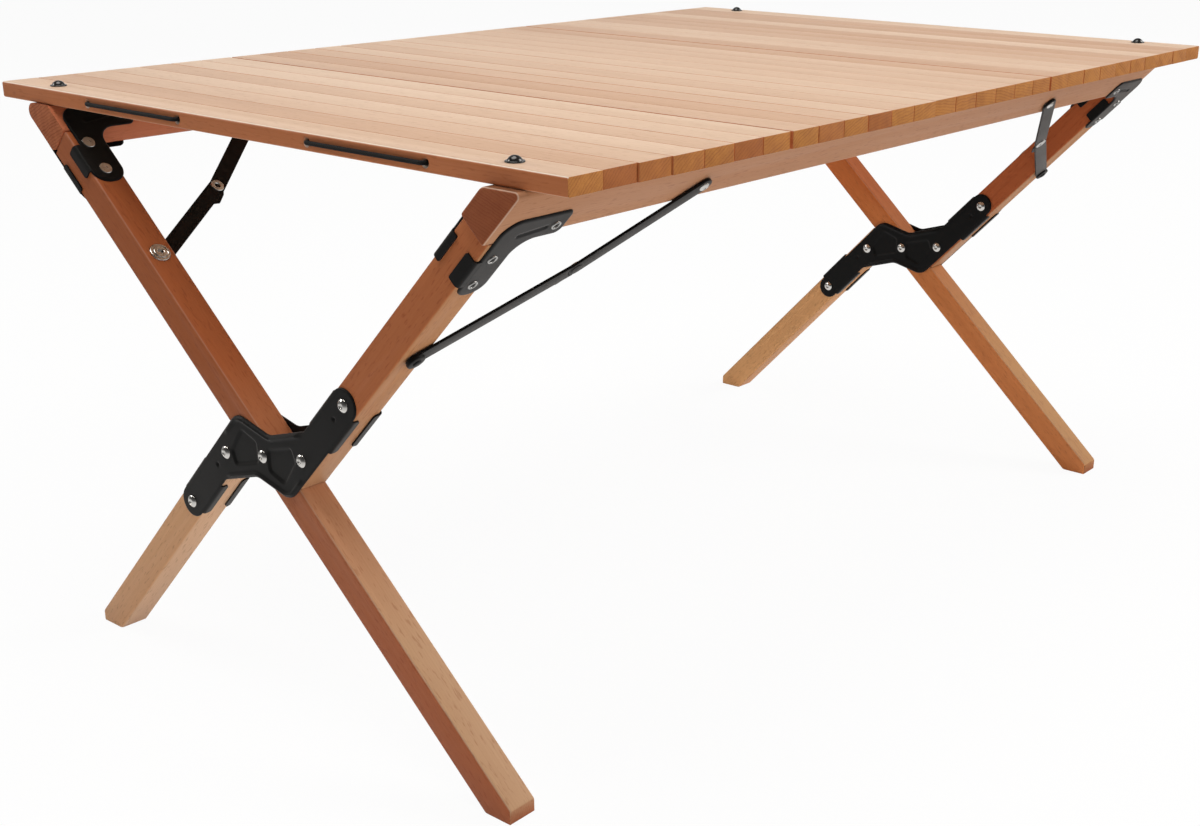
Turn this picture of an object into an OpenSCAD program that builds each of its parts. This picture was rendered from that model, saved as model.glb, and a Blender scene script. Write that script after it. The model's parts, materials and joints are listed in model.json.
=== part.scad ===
// Roll top camp table. A top of loose beech slats, strung on elastic cords, lies on two rails.
// Each rail stands on a leg at either end, and the legs cross and turn on each other in pairs.
// X runs along the table, Y across it and Z up. The floor is at Z = 0, below the middle of the top.

/* [Top] */
// Length of the top, along the table
top_l = 898; // [860:1:960]
// Number of slats
slat_count = 29; // [24:1:34]
// Thickness of a slat
slat_t = 12; // [9:0.5:20]
// Length of a slat, across the table
slat_l = 600; // [560:5:700]
// Gap between neighbouring slats
slat_gap = 1; // [0.4:0.1:3]
// Rounding of the long edges of a slat
slat_round = 1.5; // [0.5:0.1:3]
// Height of the top face above the floor
table_h = 450; // [400:5:560]

/* [Elastic cords] */
// Diameter of the elastic cord
cord_d = 3.5; // [2.5:0.1:4.5]
// Play of the cord in its holes, all round
cord_play = 0.5; // [0.3:0.1:0.8]
// Distance from the middle of a slat to a cord's inner run
cord_in_y = 70.5; // [40:0.5:110]
// Distance from the middle of a slat to a cord's outer run
cord_out_y = 182.5; // [140:0.5:210]
// Radius of the cord's bend at a hole's mouth
cord_bend = 3.5; // [3:0.1:6]
// Distance from an end slat's face to the cord that runs along it
cord_lift = 0.2; // [0.1:0.1:0.5]

/* [Pegs] */
// Distance from the middle of a rail's top to a peg, towards the middle of the table
peg_inset = 10; // [7:0.5:11]
// Diameter of the peg's shank
peg_d = 7; // [5:0.1:8]
// Reach of the peg below the slat
peg_reach = 10; // [6:0.5:12]
// Diameter of the peg's flange
peg_flange_d = 12.5; // [10:0.1:18]
// Thickness of the peg's flange
peg_flange_t = 1; // [0.6:0.1:2]
// Diameter of the dome on the flange
peg_dome_d = 10; // [8:0.1:10]
// Height of the dome
peg_dome_h = 3.2; // [2:0.1:4.5]
// Play of the peg in its hole in the rail, all round
peg_play = 0.3; // [0.2:0.05:0.6]

/* [Rails and legs] */
// Distance that a rail reaches past the top at each end
rail_past = 2; // [1:0.5:20]
// Distance that the right rail, with its stay pins, lies off the middle towards the near end
rail_shift = 5; // [0:0.5:8]
// Distance from the end of a slat to the middle of a rail's top
top_overhang = 46; // [35:1:60]
// Gap between the slats and the rails that they lie on
rest_gap = 0.1; // [0.05:0.05:0.2]
// Distance that a left leg stands further in at the floor than its rail's top
foot_inset = 19; // [5:1:30]
// Width of a leg or rail, in the plane of the leg cross
leg_w = 25; // [20:0.5:30]
// Thickness of a leg, along the table
leg_t = 25; // [18:0.5:30]
// Rounding of the long edges of a leg
leg_round = 2; // [0.5:0.1:4]
// Rounding of a rail's outer top edge
rail_round = 3; // [1:0.1:4]
// Rounding of a rail's inner top edge
rail_inner_round = 8; // [1:0.5:10]
// Depth of a rail at its middle, in the direction of the leg
rail_h = 39.5; // [36:0.5:48]
// Length of a foot where it stands on the floor
foot_l = 25; // [15:0.5:30]
// Gap between a leg and the split leg's halves beside it, when the cross is folded
half_gap = 2; // [2:0.25:7]
// Gap between the split leg's ends and the leg that they stop against
stop_gap = 0.1; // [0.05:0.05:0.5]

/* [Plates] */
// Thickness of the stamped plates
plate_t = 1.5; // [1:0.1:2.5]
// Gap between the crossing leg and the plates that turn over it
cross_clear = 0.2; // [0.1:0.05:0.5]
// Height of the rims pressed into a cross plate
rim_h = 0.8; // [0.3:0.1:1.5]
// Width of those rims
rim_w = 2.5; // [1.5:0.1:4]
// Distance from the cross pivot to where a cross plate's arm begins, along the leg
cross_arm_from = 56; // [50:0.5:62]
// Distance from the cross pivot to a cross plate's waist, along the leg
cross_waist = 19; // [17:0.5:22]
// Radius of a cross plate's outer corners
cross_corner_r = 7; // [4:0.5:8]
// Radius of a cross plate's waist
cross_waist_r = 14; // [8:0.5:16]
// Distance from the cross pivot to a split leg's first rivet, along the leg
cross_rivet_1 = 36; // [30:0.5:45]
// Distance from the cross pivot to a split leg's second rivet, along the leg
cross_rivet_2 = 108; // [95:0.5:120]
// Distance from the cross pivot to the lips that wrap the split leg's sides, along the leg
lip_from = 66; // [60:0.5:75]
// Depth of those lips
lip_depth = 6; // [4:0.5:10]
// Width of a corner plate's rail arm
arm_w = 23; // [18:0.5:24]
// Reach of a corner plate's arm along the rail
arm_l = 62; // [58:0.5:90]
// Reach of a corner plate below the joint, along the leg
plate_drop = 53; // [48:0.5:75]
// Depth of a corner plate's tabs on the leg's faces
tab_w = 8; // [5:0.5:12]

/* [Fasteners] */
// Diameter of the rivets' shanks
rivet_d = 5; // [4:0.1:6]
// Diameter of the rivets' round heads
rivet_head_d = 10; // [8:0.1:11]
// Height of the rivets' round heads
rivet_head_h = 2.4; // [1.5:0.1:3]
// Diameter of the hollow rivets' outer rims
eyelet_d = 8; // [7:0.1:10]
// Height of the rims of hollow rivets
eyelet_h = 1; // [0.6:0.1:1.4]
// Distance below the joint of a corner plate's upper leg rivet
corner_rivet_1 = 15; // [13:0.5:20]
// Distance below the joint of a corner plate's lower leg rivet
corner_rivet_2 = 41; // [36:0.5:48]
// Distance from a leg's face at the table's end to the corner plate's rail rivet
rail_rivet_x = 52; // [48:0.5:52]
// Distance above the joint of the corner plate's rail rivet
rail_rivet_up = 8.5; // [7:0.5:10]
// Diameter of the stay bolt's shank
bolt_d = 6; // [5:0.1:8]
// Diameter of the stay bolt's wide flat head
bolt_head_d = 17; // [14:0.1:19]
// Height of the stay bolt's head
bolt_head_h = 2; // [1.5:0.1:3]
// Width of the socket in the stay bolt's head, across its flats
socket_w = 4; // [3:0.1:5]
// Play between a shank and its hole, all round
fit_play = 0.05; // [0.02:0.01:0.1]

/* [Stays] */
// Distance below the joint of the stay's bolt, along the leg
stay_drop = 123; // [110:1:135]
// Distance from a leg's face at the table's end to the stay's pivot on the rail
stay_rail_x = 198; // [190:1:230]
// Distance above the joint of the stay's pivot on the rail
stay_rail_up = 15; // [10:0.5:18]
// Distance from a leg's face at the table's end to the stay's knee
knee_x = 117; // [110:1:125]
// Distance below the joint of the stay's knee
knee_drop = 54.5; // [50:0.5:60]
// Width of a stay link
link_w = 13; // [11:0.5:16]
// Thickness of a stay link
link_t = 2; // [1.5:0.1:3]
// Gap between a link and what it lies on
link_gap = 0.2; // [0.1:0.05:0.3]
// Reach of the stop on the lower link's edge
stop_reach = 4; // [2:0.5:6]
// Depth of the stay's rail pin in the wood
pin_depth = 15; // [8:0.5:18]

/* [Hidden] */
$fn = 48;
ARC_STEPS = 5;
LARGE = 2000;
// What a full round end's radius lacks, so that its two arcs don't meet in one point
ARC_SLACK = 0.05;

// The top's length and pitch, and the heights that the frame is built between
slat_pitch = (top_l + slat_gap) / slat_count;
slat_w = slat_pitch - slat_gap;
rail_l = top_l + 2 * rail_past;
rail_top_y = slat_l / 2 - top_overhang;
rail_top_z = table_h - slat_t - rest_gap;
peg_x = (top_l - slat_w) / 2;
peg_y = rail_top_y - peg_inset;
cord_z = table_h - slat_t / 2;
cord_end_x = top_l / 2 + cord_lift + cord_d / 2;
cord_hole_r = cord_d / 2 + cord_play;

foot_y = rail_top_y - foot_inset;
// The left legs run straight from the floor to the left rail. The pivot lies where they pass the middle.
angle_a = atan2(rail_top_z, rail_top_y + foot_y);
pivot_z = foot_y * tan(angle_a);
// The right legs are split. Their halves lie to either side of the pivot, so they stand steeper.
half_offset = leg_w + half_gap;
rail_from_pivot = norm([rail_top_y, rail_top_z - pivot_z]);
angle_b = atan2(rail_top_z - pivot_z, rail_top_y) + asin(half_offset / rail_from_pivot);
lower_half_l = (pivot_z + half_offset * cos(angle_b)) / sin(angle_b);
foot_b_y = half_offset * sin(angle_b) + lower_half_l * cos(angle_b);
// Leg and rail meet at this distance up the leg from the cross
joint_reach = rail_from_pivot - rail_h;

// Distance from the table's middle to the legs' faces at the table's end
rail_end = rail_l / 2;
leg_x = rail_end - leg_t / 2;
leg_side = leg_w / 2;
rivet_hole_r = rivet_d / 2 + fit_play;
bolt_hole_r = bolt_d / 2 + fit_play;
lower_link_o = leg_side + link_gap;
upper_link_o = lower_link_o + link_t + link_gap;
link_end_o = upper_link_o + link_t;

// Places on a leg and its rail: from the leg's face at the table's end, and along the leg from the cross
stay_bolt_at = [leg_t / 2, joint_reach - stay_drop];
stay_knee_at = [knee_x, joint_reach - knee_drop];
function stay_rail_at(right, far) = [
    stay_rail_x + (right ? (far ? rail_shift : -rail_shift) : 0),
    joint_reach + stay_rail_up
];
corner_rivets_at = [
    [leg_t / 2, joint_reach - corner_rivet_1],
    [leg_t / 2, joint_reach - corner_rivet_2],
    [rail_rivet_x, joint_reach + rail_rivet_up]
];
cross_rivets_at = [
    for (side = [1, -1], along = [cross_rivet_1, cross_rivet_2])
        [side * half_offset, side * along]
];

function slat_name(i) = str("slat_", i < 10 ? "0" : "", i);
function end_name(what, far) = str(what, far ? "_far" : "_near");
function side_name(right, what) = str(right ? "right_" : "left_", what);
LEFT_RIGHT = [false, true];
NEAR_FAR = [false, true];

// Points of the arc that rounds corner b between its neighbours a and c
function unit(v) = v / norm(v);
function round_corner(a, b, c, r) =
    let (
        to_a = unit(a - b),
        to_c = unit(c - b),
        opening = acos(to_a * to_c),
        middle = b + unit(to_a + to_c) * r / sin(opening / 2),
        start = b + to_a * r / tan(opening / 2) - middle,
        way = cross(to_c, to_a) > 0 ? 1 : -1,
        first = atan2(start[1], start[0])
    )
    [for (i = [0 : ARC_STEPS])
        let (at = first + way * (180 - opening) * i / ARC_STEPS) middle + r * [cos(at), sin(at)]];

// An outline whose corners are given as [x, y, radius]
function rounded(corners) =
    let (n = len(corners))
    [for (i = [0 : n - 1])
        let (
            a = corners[(i + n - 1) % n],
            b = corners[i],
            c = corners[(i + 1) % n]
        )
        each round_corner([a[0], a[1]], [b[0], b[1]], [c[0], c[1]], b[2])];

function rounded_box(w, h, r) =
    rounded([[-w / 2, -h / 2, r], [w / 2, -h / 2, r], [w / 2, h / 2, r], [-w / 2, h / 2, r]]);

// A left leg's own frame: X along the table, Y away from the cross on the outer, lower side, Z up the leg
module leg_frame(angle, offset)
    translate([0, 0, pivot_z]) rotate([angle - 90, 0, 0]) translate([0, offset, 0]) children();

// The same frame on either side of the table. The right side is the left one's mirror image.
module side(right)
    if (right) mirror([0, 1, 0]) leg_frame(angle_b, half_offset) children();
    else leg_frame(angle_a, 0) children();

module both_ends() {
    children();
    mirror([1, 0, 0]) children();
}

module at_end(far)
    if (far) mirror([1, 0, 0]) children();
    else children();

// Extrudes an outline of outward and upward distances along X
module along_x(x0, x1)
    translate([x0, 0, 0]) rotate([90, 0, 90]) linear_extrude(x1 - x0) children();

// Extrudes an outline outwards from o0 to o1. Its places are distances from the near leg's face at the
// table's end, and up the leg.
module outwards(o0, o1)
    translate([-rail_end, o1, 0]) rotate([90, 0, 0]) linear_extrude(o1 - o0) children();

// A round bar across the leg, at a place given from the near leg's face at the table's end and up the leg
module across(place, o0, o1, r)
    translate([place[0] - rail_end, o0, place[1]]) rotate([-90, 0, 0]) cylinder(h = o1 - o0, r = r);

// A round bar along X, at a place given outwards from and up the leg
module bar_x(place, x0, x1, r)
    translate([x0, place[0], place[1]]) rotate([0, 90, 0]) cylinder(h = x1 - x0, r = r);

module below_floor()
    translate([-LARGE / 2, -LARGE / 2, -LARGE]) cube([LARGE, LARGE, LARGE]);

// The sharp tip of a left foot, past the flat that it stands on
module past_foot(centre_y, angle) {
    tip_y = centre_y - leg_side / sin(angle) + foot_l;
    translate([-LARGE / 2, -tip_y - LARGE, -LARGE / 2]) cube([LARGE, LARGE, LARGE]);
}

// Top

module slat(i) {
    x = (i - (slat_count + 1) / 2) * slat_pitch;
    color(i % 3 == 0 ? "burlywood" : "tan") difference() {
        translate([x, slat_l / 2, cord_z]) rotate([90, 0, 0]) linear_extrude(slat_l)
            polygon(rounded_box(slat_w, slat_t, slat_round));
        for (y = [cord_in_y, cord_out_y], s = [-1, 1])
            translate([x - slat_w, s * y, cord_z]) rotate([0, 90, 0])
                cylinder(h = 2 * slat_w, r = cord_hole_r);
        if (i == 1) cord_mouths();
        if (i == slat_count) mirror([1, 0, 0]) cord_mouths();
        if (i == 1 || i == slat_count)
            for (s = [-1, 1])
                translate([x, s * peg_y, table_h - 2 * slat_t])
                    cylinder(h = 3 * slat_t, r = peg_d / 2 + fit_play);
    }
}

// The eased mouths of the cord's holes in the near end slat
module cord_mouths() {
    ease = 1.4;
    for (y = [cord_in_y, cord_out_y], s = [-1, 1])
        translate([-top_l / 2, s * y, cord_z]) rotate([0, 90, 0])
            cylinder(h = ease, r1 = cord_hole_r + ease, r2 = cord_hole_r);
}

module peg() {
    dome_r = (pow(peg_dome_d / 2, 2) + pow(peg_dome_h, 2)) / (2 * peg_dome_h);
    translate([0, 0, rail_top_z - peg_reach])
        cylinder(h = table_h - rail_top_z + peg_reach, d = peg_d);
    translate([0, 0, table_h]) {
        cylinder(h = peg_flange_t, d = peg_flange_d);
        translate([0, 0, peg_flange_t]) intersection() {
            cylinder(h = peg_dome_h, d = peg_dome_d);
            translate([0, 0, peg_dome_h - dome_r]) sphere(r = dome_r);
        }
    }
}

module pegs(far)
    color("dimgray") at_end(far)
        for (s = [-1, 1]) translate([-peg_x, s * peg_y, 0]) peg();

// One closed loop of cord: two runs through the slats, and a run along each end slat's face
module elastic_cord() {
    run = cord_end_x - cord_bend;
    color("black") translate([0, 0, cord_z]) {
        for (y = [cord_in_y, cord_out_y])
            translate([-run, y, 0]) rotate([0, 90, 0]) cylinder(h = 2 * run, d = cord_d);
        both_ends() {
            translate([-cord_end_x, cord_in_y + cord_bend, 0]) rotate([-90, 0, 0])
                cylinder(h = cord_out_y - cord_in_y - 2 * cord_bend, d = cord_d);
            translate([-run, cord_in_y + cord_bend, 0]) rotate([0, 0, 180]) cord_corner();
            translate([-run, cord_out_y - cord_bend, 0]) rotate([0, 0, 90]) cord_corner();
        }
    }
}

module cord_corner()
    rotate_extrude(angle = 90) translate([cord_bend, 0]) circle(d = cord_d);

// Rails and legs

// Where a rail's top lies, up the leg, at a distance o outwards from the leg's middle
function rail_top(o, angle, offset) =
    (rail_top_z - pivot_z + (o + offset) * cos(angle)) / sin(angle);

module rail(right) {
    angle = right ? angle_b : angle_a;
    offset = right ? half_offset : 0;
    shift = right ? rail_shift : 0;
    color("tan") difference() {
        side(right) difference() {
            along_x(-rail_end - shift, rail_end - shift) polygon(rounded([
                [-leg_side, joint_reach, leg_round],
                [leg_side, joint_reach, leg_round],
                [leg_side, rail_top(leg_side, angle, offset), rail_round],
                [-leg_side, rail_top(-leg_side, angle, offset), rail_inner_round]
            ]));
            for (far = NEAR_FAR) at_end(far) {
                across(corner_rivets_at[2], -leg_w, leg_w, rivet_hole_r);
                across(stay_rail_at(right, far), leg_side - pin_depth, leg_w, rivet_hole_r);
            }
        }
        both_ends()
            translate([-peg_x, (right ? -1 : 1) * peg_y, rail_top_z - peg_reach - peg_play])
                cylinder(h = LARGE, r = peg_d / 2 + peg_play);
    }
}

// A leg's square bar between two distances up the leg, with its holes for corner plate and stay
module leg_bar(from, to, thickness)
    difference() {
        translate([-leg_x, 0, from]) linear_extrude(to - from)
            polygon(rounded_box(thickness, leg_w, leg_round));
        for (at = [corner_rivets_at[0], corner_rivets_at[1]]) across(at, -leg_w, leg_w, rivet_hole_r);
        across(stay_bolt_at, -leg_w, leg_w, bolt_hole_r);
    }

module left_leg(far)
    color("peru") at_end(far) difference() {
        side(false) difference() {
            leg_bar(-LARGE / 4, joint_reach, leg_t - 2 * cross_clear);
            bar_x([0, 0], -LARGE / 2, LARGE / 2, bolt_hole_r);
        }
        below_floor();
        past_foot(foot_y, angle_a);
    }

// The half of the split leg above the crossing leg, cut to stop against it
module right_upper_leg(far)
    color("peru") at_end(far) difference() {
        side(true) difference() {
            leg_bar(-leg_w, joint_reach, leg_t);
            for (along = [cross_rivet_1, cross_rivet_2])
                bar_x([0, along], -LARGE / 2, LARGE / 2, rivet_hole_r);
        }
        leg_frame(angle_a, 0) translate([-LARGE / 2, -leg_side - stop_gap, -LARGE / 2]) cube(LARGE);
    }

// The half below it, which stands on the floor
module right_lower_leg(far)
    color("peru") at_end(far) difference() {
        mirror([0, 1, 0]) difference() {
            leg_frame(angle_b, -half_offset) difference() {
                translate([-leg_x, 0, -LARGE / 4]) linear_extrude(LARGE / 4 + leg_w)
                    polygon(rounded_box(leg_t, leg_w, leg_round));
                for (along = [cross_rivet_1, cross_rivet_2])
                    bar_x([0, -along], -LARGE / 2, LARGE / 2, rivet_hole_r);
            }
            below_floor();
            past_foot(foot_b_y, angle_b);
        }
        leg_frame(angle_a, 0)
            translate([-LARGE / 2, leg_side + stop_gap - LARGE, -LARGE / 2]) cube(LARGE);
    }

// Corner plates, riveted to leg and rail on both sides

module corner_outline() {
    low = joint_reach - plate_drop;
    arm_low = joint_reach - arm_w / 12;
    polygon(rounded([
        [0, low, leg_t / 3],
        [leg_t, low, leg_t / 3],
        [leg_t, arm_low, leg_t / 2],
        [arm_l, arm_low, arm_w / 4],
        [arm_l, arm_low + arm_w, arm_w / 4],
        [0, arm_low + arm_w, arm_w / 2]
    ]));
}

// One plate on the outer side, with a tab round each of the leg's faces across the table
module corner_plate() {
    tab_low = joint_reach - corner_rivet_2;
    tab_l = corner_rivet_2 - corner_rivet_1 - 1;
    difference() {
        union() {
            outwards(leg_side, leg_side + plate_t) corner_outline();
            translate([-rail_end - plate_t, leg_side, tab_low]) cube([leg_t + 2 * plate_t, plate_t, tab_l]);
            for (face = [-plate_t, leg_t])
                translate([face - rail_end, leg_side - tab_w, tab_low])
                    cube([plate_t, tab_w + plate_t, tab_l]);
            outwards(leg_side + plate_t, leg_side + plate_t + rim_h) arm_rib();
        }
        for (at = corner_rivets_at) across(at, 0, leg_w, rivet_hole_r);
    }
}

// The rib pressed into the arm, between the leg and the rail rivet
module arm_rib() {
    from = leg_t / 2 + rail_rivet_up;
    to = rail_rivet_x - rivet_head_d;
    polygon(rounded([
        for (c = [[from, -1], [to, -1], [to, 1], [from, 1]])
            [c[0], joint_reach + rail_rivet_up + c[1] * rim_w / 2, rim_w / 2 - ARC_SLACK]
    ]));
}

// The two plates of one corner, on the outer and the inner side
module corner_plates(right, far)
    color("dimgray") side(right) at_end(far) {
        corner_plate();
        mirror([0, 1, 0]) corner_plate();
    }

// A hollow rivet through both plates and the wood, with a flat head on the inner side
module corner_rivet(at) {
    face = leg_side + plate_t;
    difference() {
        union() {
            across(at, -face, face, rivet_d / 2);
            across(at, face, face + eyelet_h, eyelet_d / 2);
            across(at, -face - eyelet_h, -face, eyelet_d / 2);
        }
        across(at, face - 2 * eyelet_h, face + 2 * eyelet_h, rivet_d / 4);
    }
}

module corner_rivets(right)
    color("silver") side(right) both_ends() for (at = corner_rivets_at) corner_rivet(at);

// Folding stays, each of two links with a knee, from leg to rail

module link_outline(a, b) {
    way = unit(b - a);
    left = [-way[1], way[0]] * link_w / 2;
    past = way * link_w / 2;
    polygon(rounded([
        for (c = [a - past + left, a - past - left, b + past - left, b + past + left])
            [c[0], c[1], link_w / 2 - ARC_SLACK]
    ]));
}

// The stop that stands out from the lower link's edge, short of the knee
module link_stop() {
    way = unit(stay_bolt_at - stay_knee_at);
    out = [-way[1], way[0]];
    root = out * link_w / 4;
    tip = out * (link_w / 2 + stop_reach);
    polygon([
        stay_knee_at + way * link_w * 0.5 + root,
        stay_knee_at + way * link_w * 1.5 + root,
        stay_knee_at + way * link_w * 1.4 + tip,
        stay_knee_at + way * link_w * 0.7 + tip
    ]);
}

module lower_link(right, far)
    color("dimgray") side(right) at_end(far) difference() {
        outwards(lower_link_o, lower_link_o + link_t) {
            link_outline(stay_bolt_at, stay_knee_at);
            link_stop();
        }
        across(stay_bolt_at, 0, 2 * leg_w, bolt_hole_r);
        across(stay_knee_at, 0, 2 * leg_w, rivet_hole_r);
    }

module upper_link(right, far)
    color("dimgray") side(right) at_end(far) difference() {
        outwards(upper_link_o, link_end_o) link_outline(stay_knee_at, stay_rail_at(right, far));
        across(stay_knee_at, 0, 2 * leg_w, rivet_hole_r);
        across(stay_rail_at(right, far), 0, 2 * leg_w, rivet_hole_r);
    }

// A rivet head, standing outwards from o
module head_out(at, o)
    translate([at[0] - rail_end, o, at[1]]) rotate([-90, 0, 0]) round_head();

module round_head()
    rotate_extrude() polygon([
        [0, 0],
        [rivet_head_d / 2, 0],
        [rivet_head_d / 2, rivet_head_h * 0.4],
        [rivet_head_d * 0.38, rivet_head_h * 0.85],
        [rivet_head_d * 0.2, rivet_head_h],
        [0, rivet_head_h]
    ]);

// The rivet of a stay's knee
module knee_rivet() {
    across(stay_knee_at, lower_link_o, link_end_o, rivet_d / 2);
    head_out(stay_knee_at, link_end_o);
    mirror([0, 1, 0]) head_out(stay_knee_at, -lower_link_o);
}

// The pin in the rail, which holds the upper link off the wood on a spacer
module rail_pin(at) {
    across(at, leg_side - pin_depth, link_end_o, rivet_d / 2);
    across(at, leg_side, upper_link_o - link_gap / 2, rivet_head_d / 2);
    head_out(at, link_end_o);
}

// The bolt through the leg, with a wide flat head on the inner side and a round nut over the link
module stay_bolt()
    difference() {
        union() {
            across(stay_bolt_at, -leg_side - bolt_head_h, -leg_side, bolt_head_d / 2);
            across(stay_bolt_at, -leg_side - bolt_head_h / 2, lower_link_o + link_t, bolt_d / 2);
            head_out(stay_bolt_at, lower_link_o + link_t);
        }
        translate([stay_bolt_at[0] - rail_end, -leg_side - bolt_head_h, stay_bolt_at[1]]) rotate([90, 0, 0])
            cylinder(h = 3 * bolt_head_h, d = socket_w / cos(30), center = true, $fn = 6);
    }

module stay_fasteners(right)
    color("silver") side(right) for (far = NEAR_FAR) at_end(far) {
        knee_rivet();
        rail_pin(stay_rail_at(right, far));
        stay_bolt();
    }

// The crosses

// Half of a cross plate's outline, as [outwards, up, radius]. The other half is this one, turned round.
function cross_half() =
    let (
        inner = half_offset - leg_side,
        outer = half_offset + leg_side,
        end = cross_rivet_2 + leg_side
    )
    [
        [inner, cross_arm_from, cross_corner_r],
        [inner, end, leg_side - ARC_SLACK],
        [outer, end, leg_side - ARC_SLACK],
        [outer, 0, cross_corner_r],
        [leg_side / 2, -cross_waist, cross_waist_r]
    ];

function turned(corners) = [for (c = corners) [-c[0], -c[1], c[2]]];

module cross_outline()
    polygon(rounded(concat(cross_half(), turned(cross_half()))));

// One of the two fields between the rivets that the pressed rims enclose
module cross_field() {
    edge = half_offset - leg_side / 2;
    round = rim_w + 1;
    polygon(rounded([
        [edge, cross_rivet_1, round],
        [half_offset, cross_rivet_1 / 5, round],
        [edge - rim_w, -leg_side / 2, round],
        [leg_side / 4, leg_side, round]
    ]));
}

module cross_rims()
    difference() {
        cross_field();
        offset(delta = -rim_w) cross_field();
    }

// The lips that wrap the upper half's sides, from the plate's edge into the depth of the leg
module cross_lips()
    for (s = [-1, 1])
        translate([0, half_offset, lip_from]) mirror([0, s < 0 ? 1 : 0, 0]) {
            translate([-plate_t, leg_side + fit_play, 0])
                cube([plate_t + lip_depth, plate_t, cross_rivet_2 - lip_from]);
            translate([-plate_t, 0, 0])
                cube([plate_t, leg_side + fit_play + plate_t, cross_rivet_2 - lip_from]);
        }

// A plate on a leg's outer face, as it lies in the frame of the split leg
module cross_plate()
    difference() {
        union() {
            along_x(-plate_t, 0) cross_outline();
            along_x(-plate_t - rim_h, -plate_t) cross_rims();
            along_x(-plate_t - rim_h, -plate_t) rotate(180) cross_rims();
            cross_lips();
            rotate([180, 0, 0]) cross_lips();
        }
        for (at = cross_rivets_at) bar_x(at, -LARGE / 2, LARGE / 2, rivet_hole_r);
        bar_x([0, 0], -LARGE / 2, LARGE / 2, bolt_hole_r);
    }

module cross_frame()
    mirror([0, 1, 0]) leg_frame(angle_b, 0) children();

module cross_plates(far)
    color("dimgray") at_end(far) cross_frame() {
        translate([-rail_end, 0, 0]) cross_plate();
        translate([leg_t - rail_end, 0, 0]) mirror([1, 0, 0]) cross_plate();
    }

// A shank through both plates at one end, with a round head on each side
module through_rivet(at, d) {
    out = rail_end + plate_t;
    bar_x(at, -out, leg_t + plate_t - rail_end, d / 2);
    translate([-out, at[0], at[1]]) rotate([0, -90, 0]) round_head();
    translate([leg_t + plate_t - rail_end, at[0], at[1]]) rotate([0, 90, 0]) round_head();
}

// The rivets of both crosses. The middle one of each is the pivot that the crossing leg turns on.
module cross_rivets()
    color("silver") both_ends() cross_frame() {
        through_rivet([0, 0], bolt_d);
        for (at = cross_rivets_at) through_rivet(at, rivet_d);
    }

for (i = [1 : slat_count])
    slat(i);
elastic_cord();  // elastic_cord_left
mirror([0, 1, 0]) elastic_cord();  // elastic_cord_right
for (far = NEAR_FAR) {
    pegs(far);
    left_leg(far);
    right_upper_leg(far);
    right_lower_leg(far);
    cross_plates(far);
    for (right = LEFT_RIGHT) {
        plates = end_name(side_name(right, "corner_plates"), far);
        lower = end_name(side_name(right, "lower_link"), far);
        upper = end_name(side_name(right, "upper_link"), far);
        corner_plates(right, far);
        lower_link(right, far);
        upper_link(right, far);
    }
}
for (right = LEFT_RIGHT) {
    rail(right);
    corner_rivets(right);
    stay_fasteners(right);
}
cross_rivets();
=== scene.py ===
import json
import math
import random

import bmesh
import bpy
import numpy as np
from mathutils import Matrix, Vector
from mathutils.geometry import delaunay_2d_cdt


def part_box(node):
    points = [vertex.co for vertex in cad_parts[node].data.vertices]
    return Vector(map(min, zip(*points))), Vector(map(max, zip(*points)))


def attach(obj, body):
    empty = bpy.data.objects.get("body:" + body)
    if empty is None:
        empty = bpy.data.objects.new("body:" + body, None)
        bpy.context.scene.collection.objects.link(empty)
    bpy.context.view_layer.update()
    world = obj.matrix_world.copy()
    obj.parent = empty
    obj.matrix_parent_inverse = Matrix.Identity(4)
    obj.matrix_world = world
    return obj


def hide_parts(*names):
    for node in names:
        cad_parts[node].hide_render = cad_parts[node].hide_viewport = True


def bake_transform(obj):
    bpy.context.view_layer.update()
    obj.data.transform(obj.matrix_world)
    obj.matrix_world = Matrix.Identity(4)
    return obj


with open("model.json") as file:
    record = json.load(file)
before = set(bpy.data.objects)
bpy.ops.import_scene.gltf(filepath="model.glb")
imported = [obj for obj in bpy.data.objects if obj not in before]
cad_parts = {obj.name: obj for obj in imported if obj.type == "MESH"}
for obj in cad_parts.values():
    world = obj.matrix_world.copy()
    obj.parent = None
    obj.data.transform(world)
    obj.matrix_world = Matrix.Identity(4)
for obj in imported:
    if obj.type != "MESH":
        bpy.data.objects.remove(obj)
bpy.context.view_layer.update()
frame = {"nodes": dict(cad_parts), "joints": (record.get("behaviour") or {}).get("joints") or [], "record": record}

NODES = frame["nodes"]
BODY_OF = {n: b for b, members in frame["record"]["behaviour"]["bodies"].items() for n in members}
MM = 0.001
TURN = 2 * math.pi
ENDS = ("near", "far")
SIDES = ("left", "right")


def mm(*values):
    """Millimetres as metres."""
    return tuple(v * MM for v in values)


# Sizes of the table, in metres: those that the frame gives, and those that it is built from

FOLD = next(j for j in frame["joints"] if j["name"] == "frame_fold")
PIVOT_Z = FOLD["pos_m"][2]
SLAT_NAMES = sorted(n for n in NODES if n.startswith("slat_"))
FIRST_SLAT = SLAT_NAMES[0]
LAST_SLAT = SLAT_NAMES[-1]
SLAT_LOW, SLAT_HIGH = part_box(FIRST_SLAT)
TABLE_H = SLAT_HIGH.z
TOP_END = -SLAT_LOW.x
SLAT_END = SLAT_HIGH.y
SLAT_T = TABLE_H - SLAT_LOW.z
SLAT_W = SLAT_HIGH.x - SLAT_LOW.x
SLAT_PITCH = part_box(SLAT_NAMES[1])[0].x - SLAT_LOW.x
LEG_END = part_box("left_leg_far")[1].x
LEG_LOW, LEG_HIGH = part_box("right_upper_leg_near")
LEG_T = LEG_HIGH.x - LEG_LOW.x
LEG_W = 25 * MM
LEG_SIDE = LEG_W / 2
LEG_GAP = 2 * MM
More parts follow.
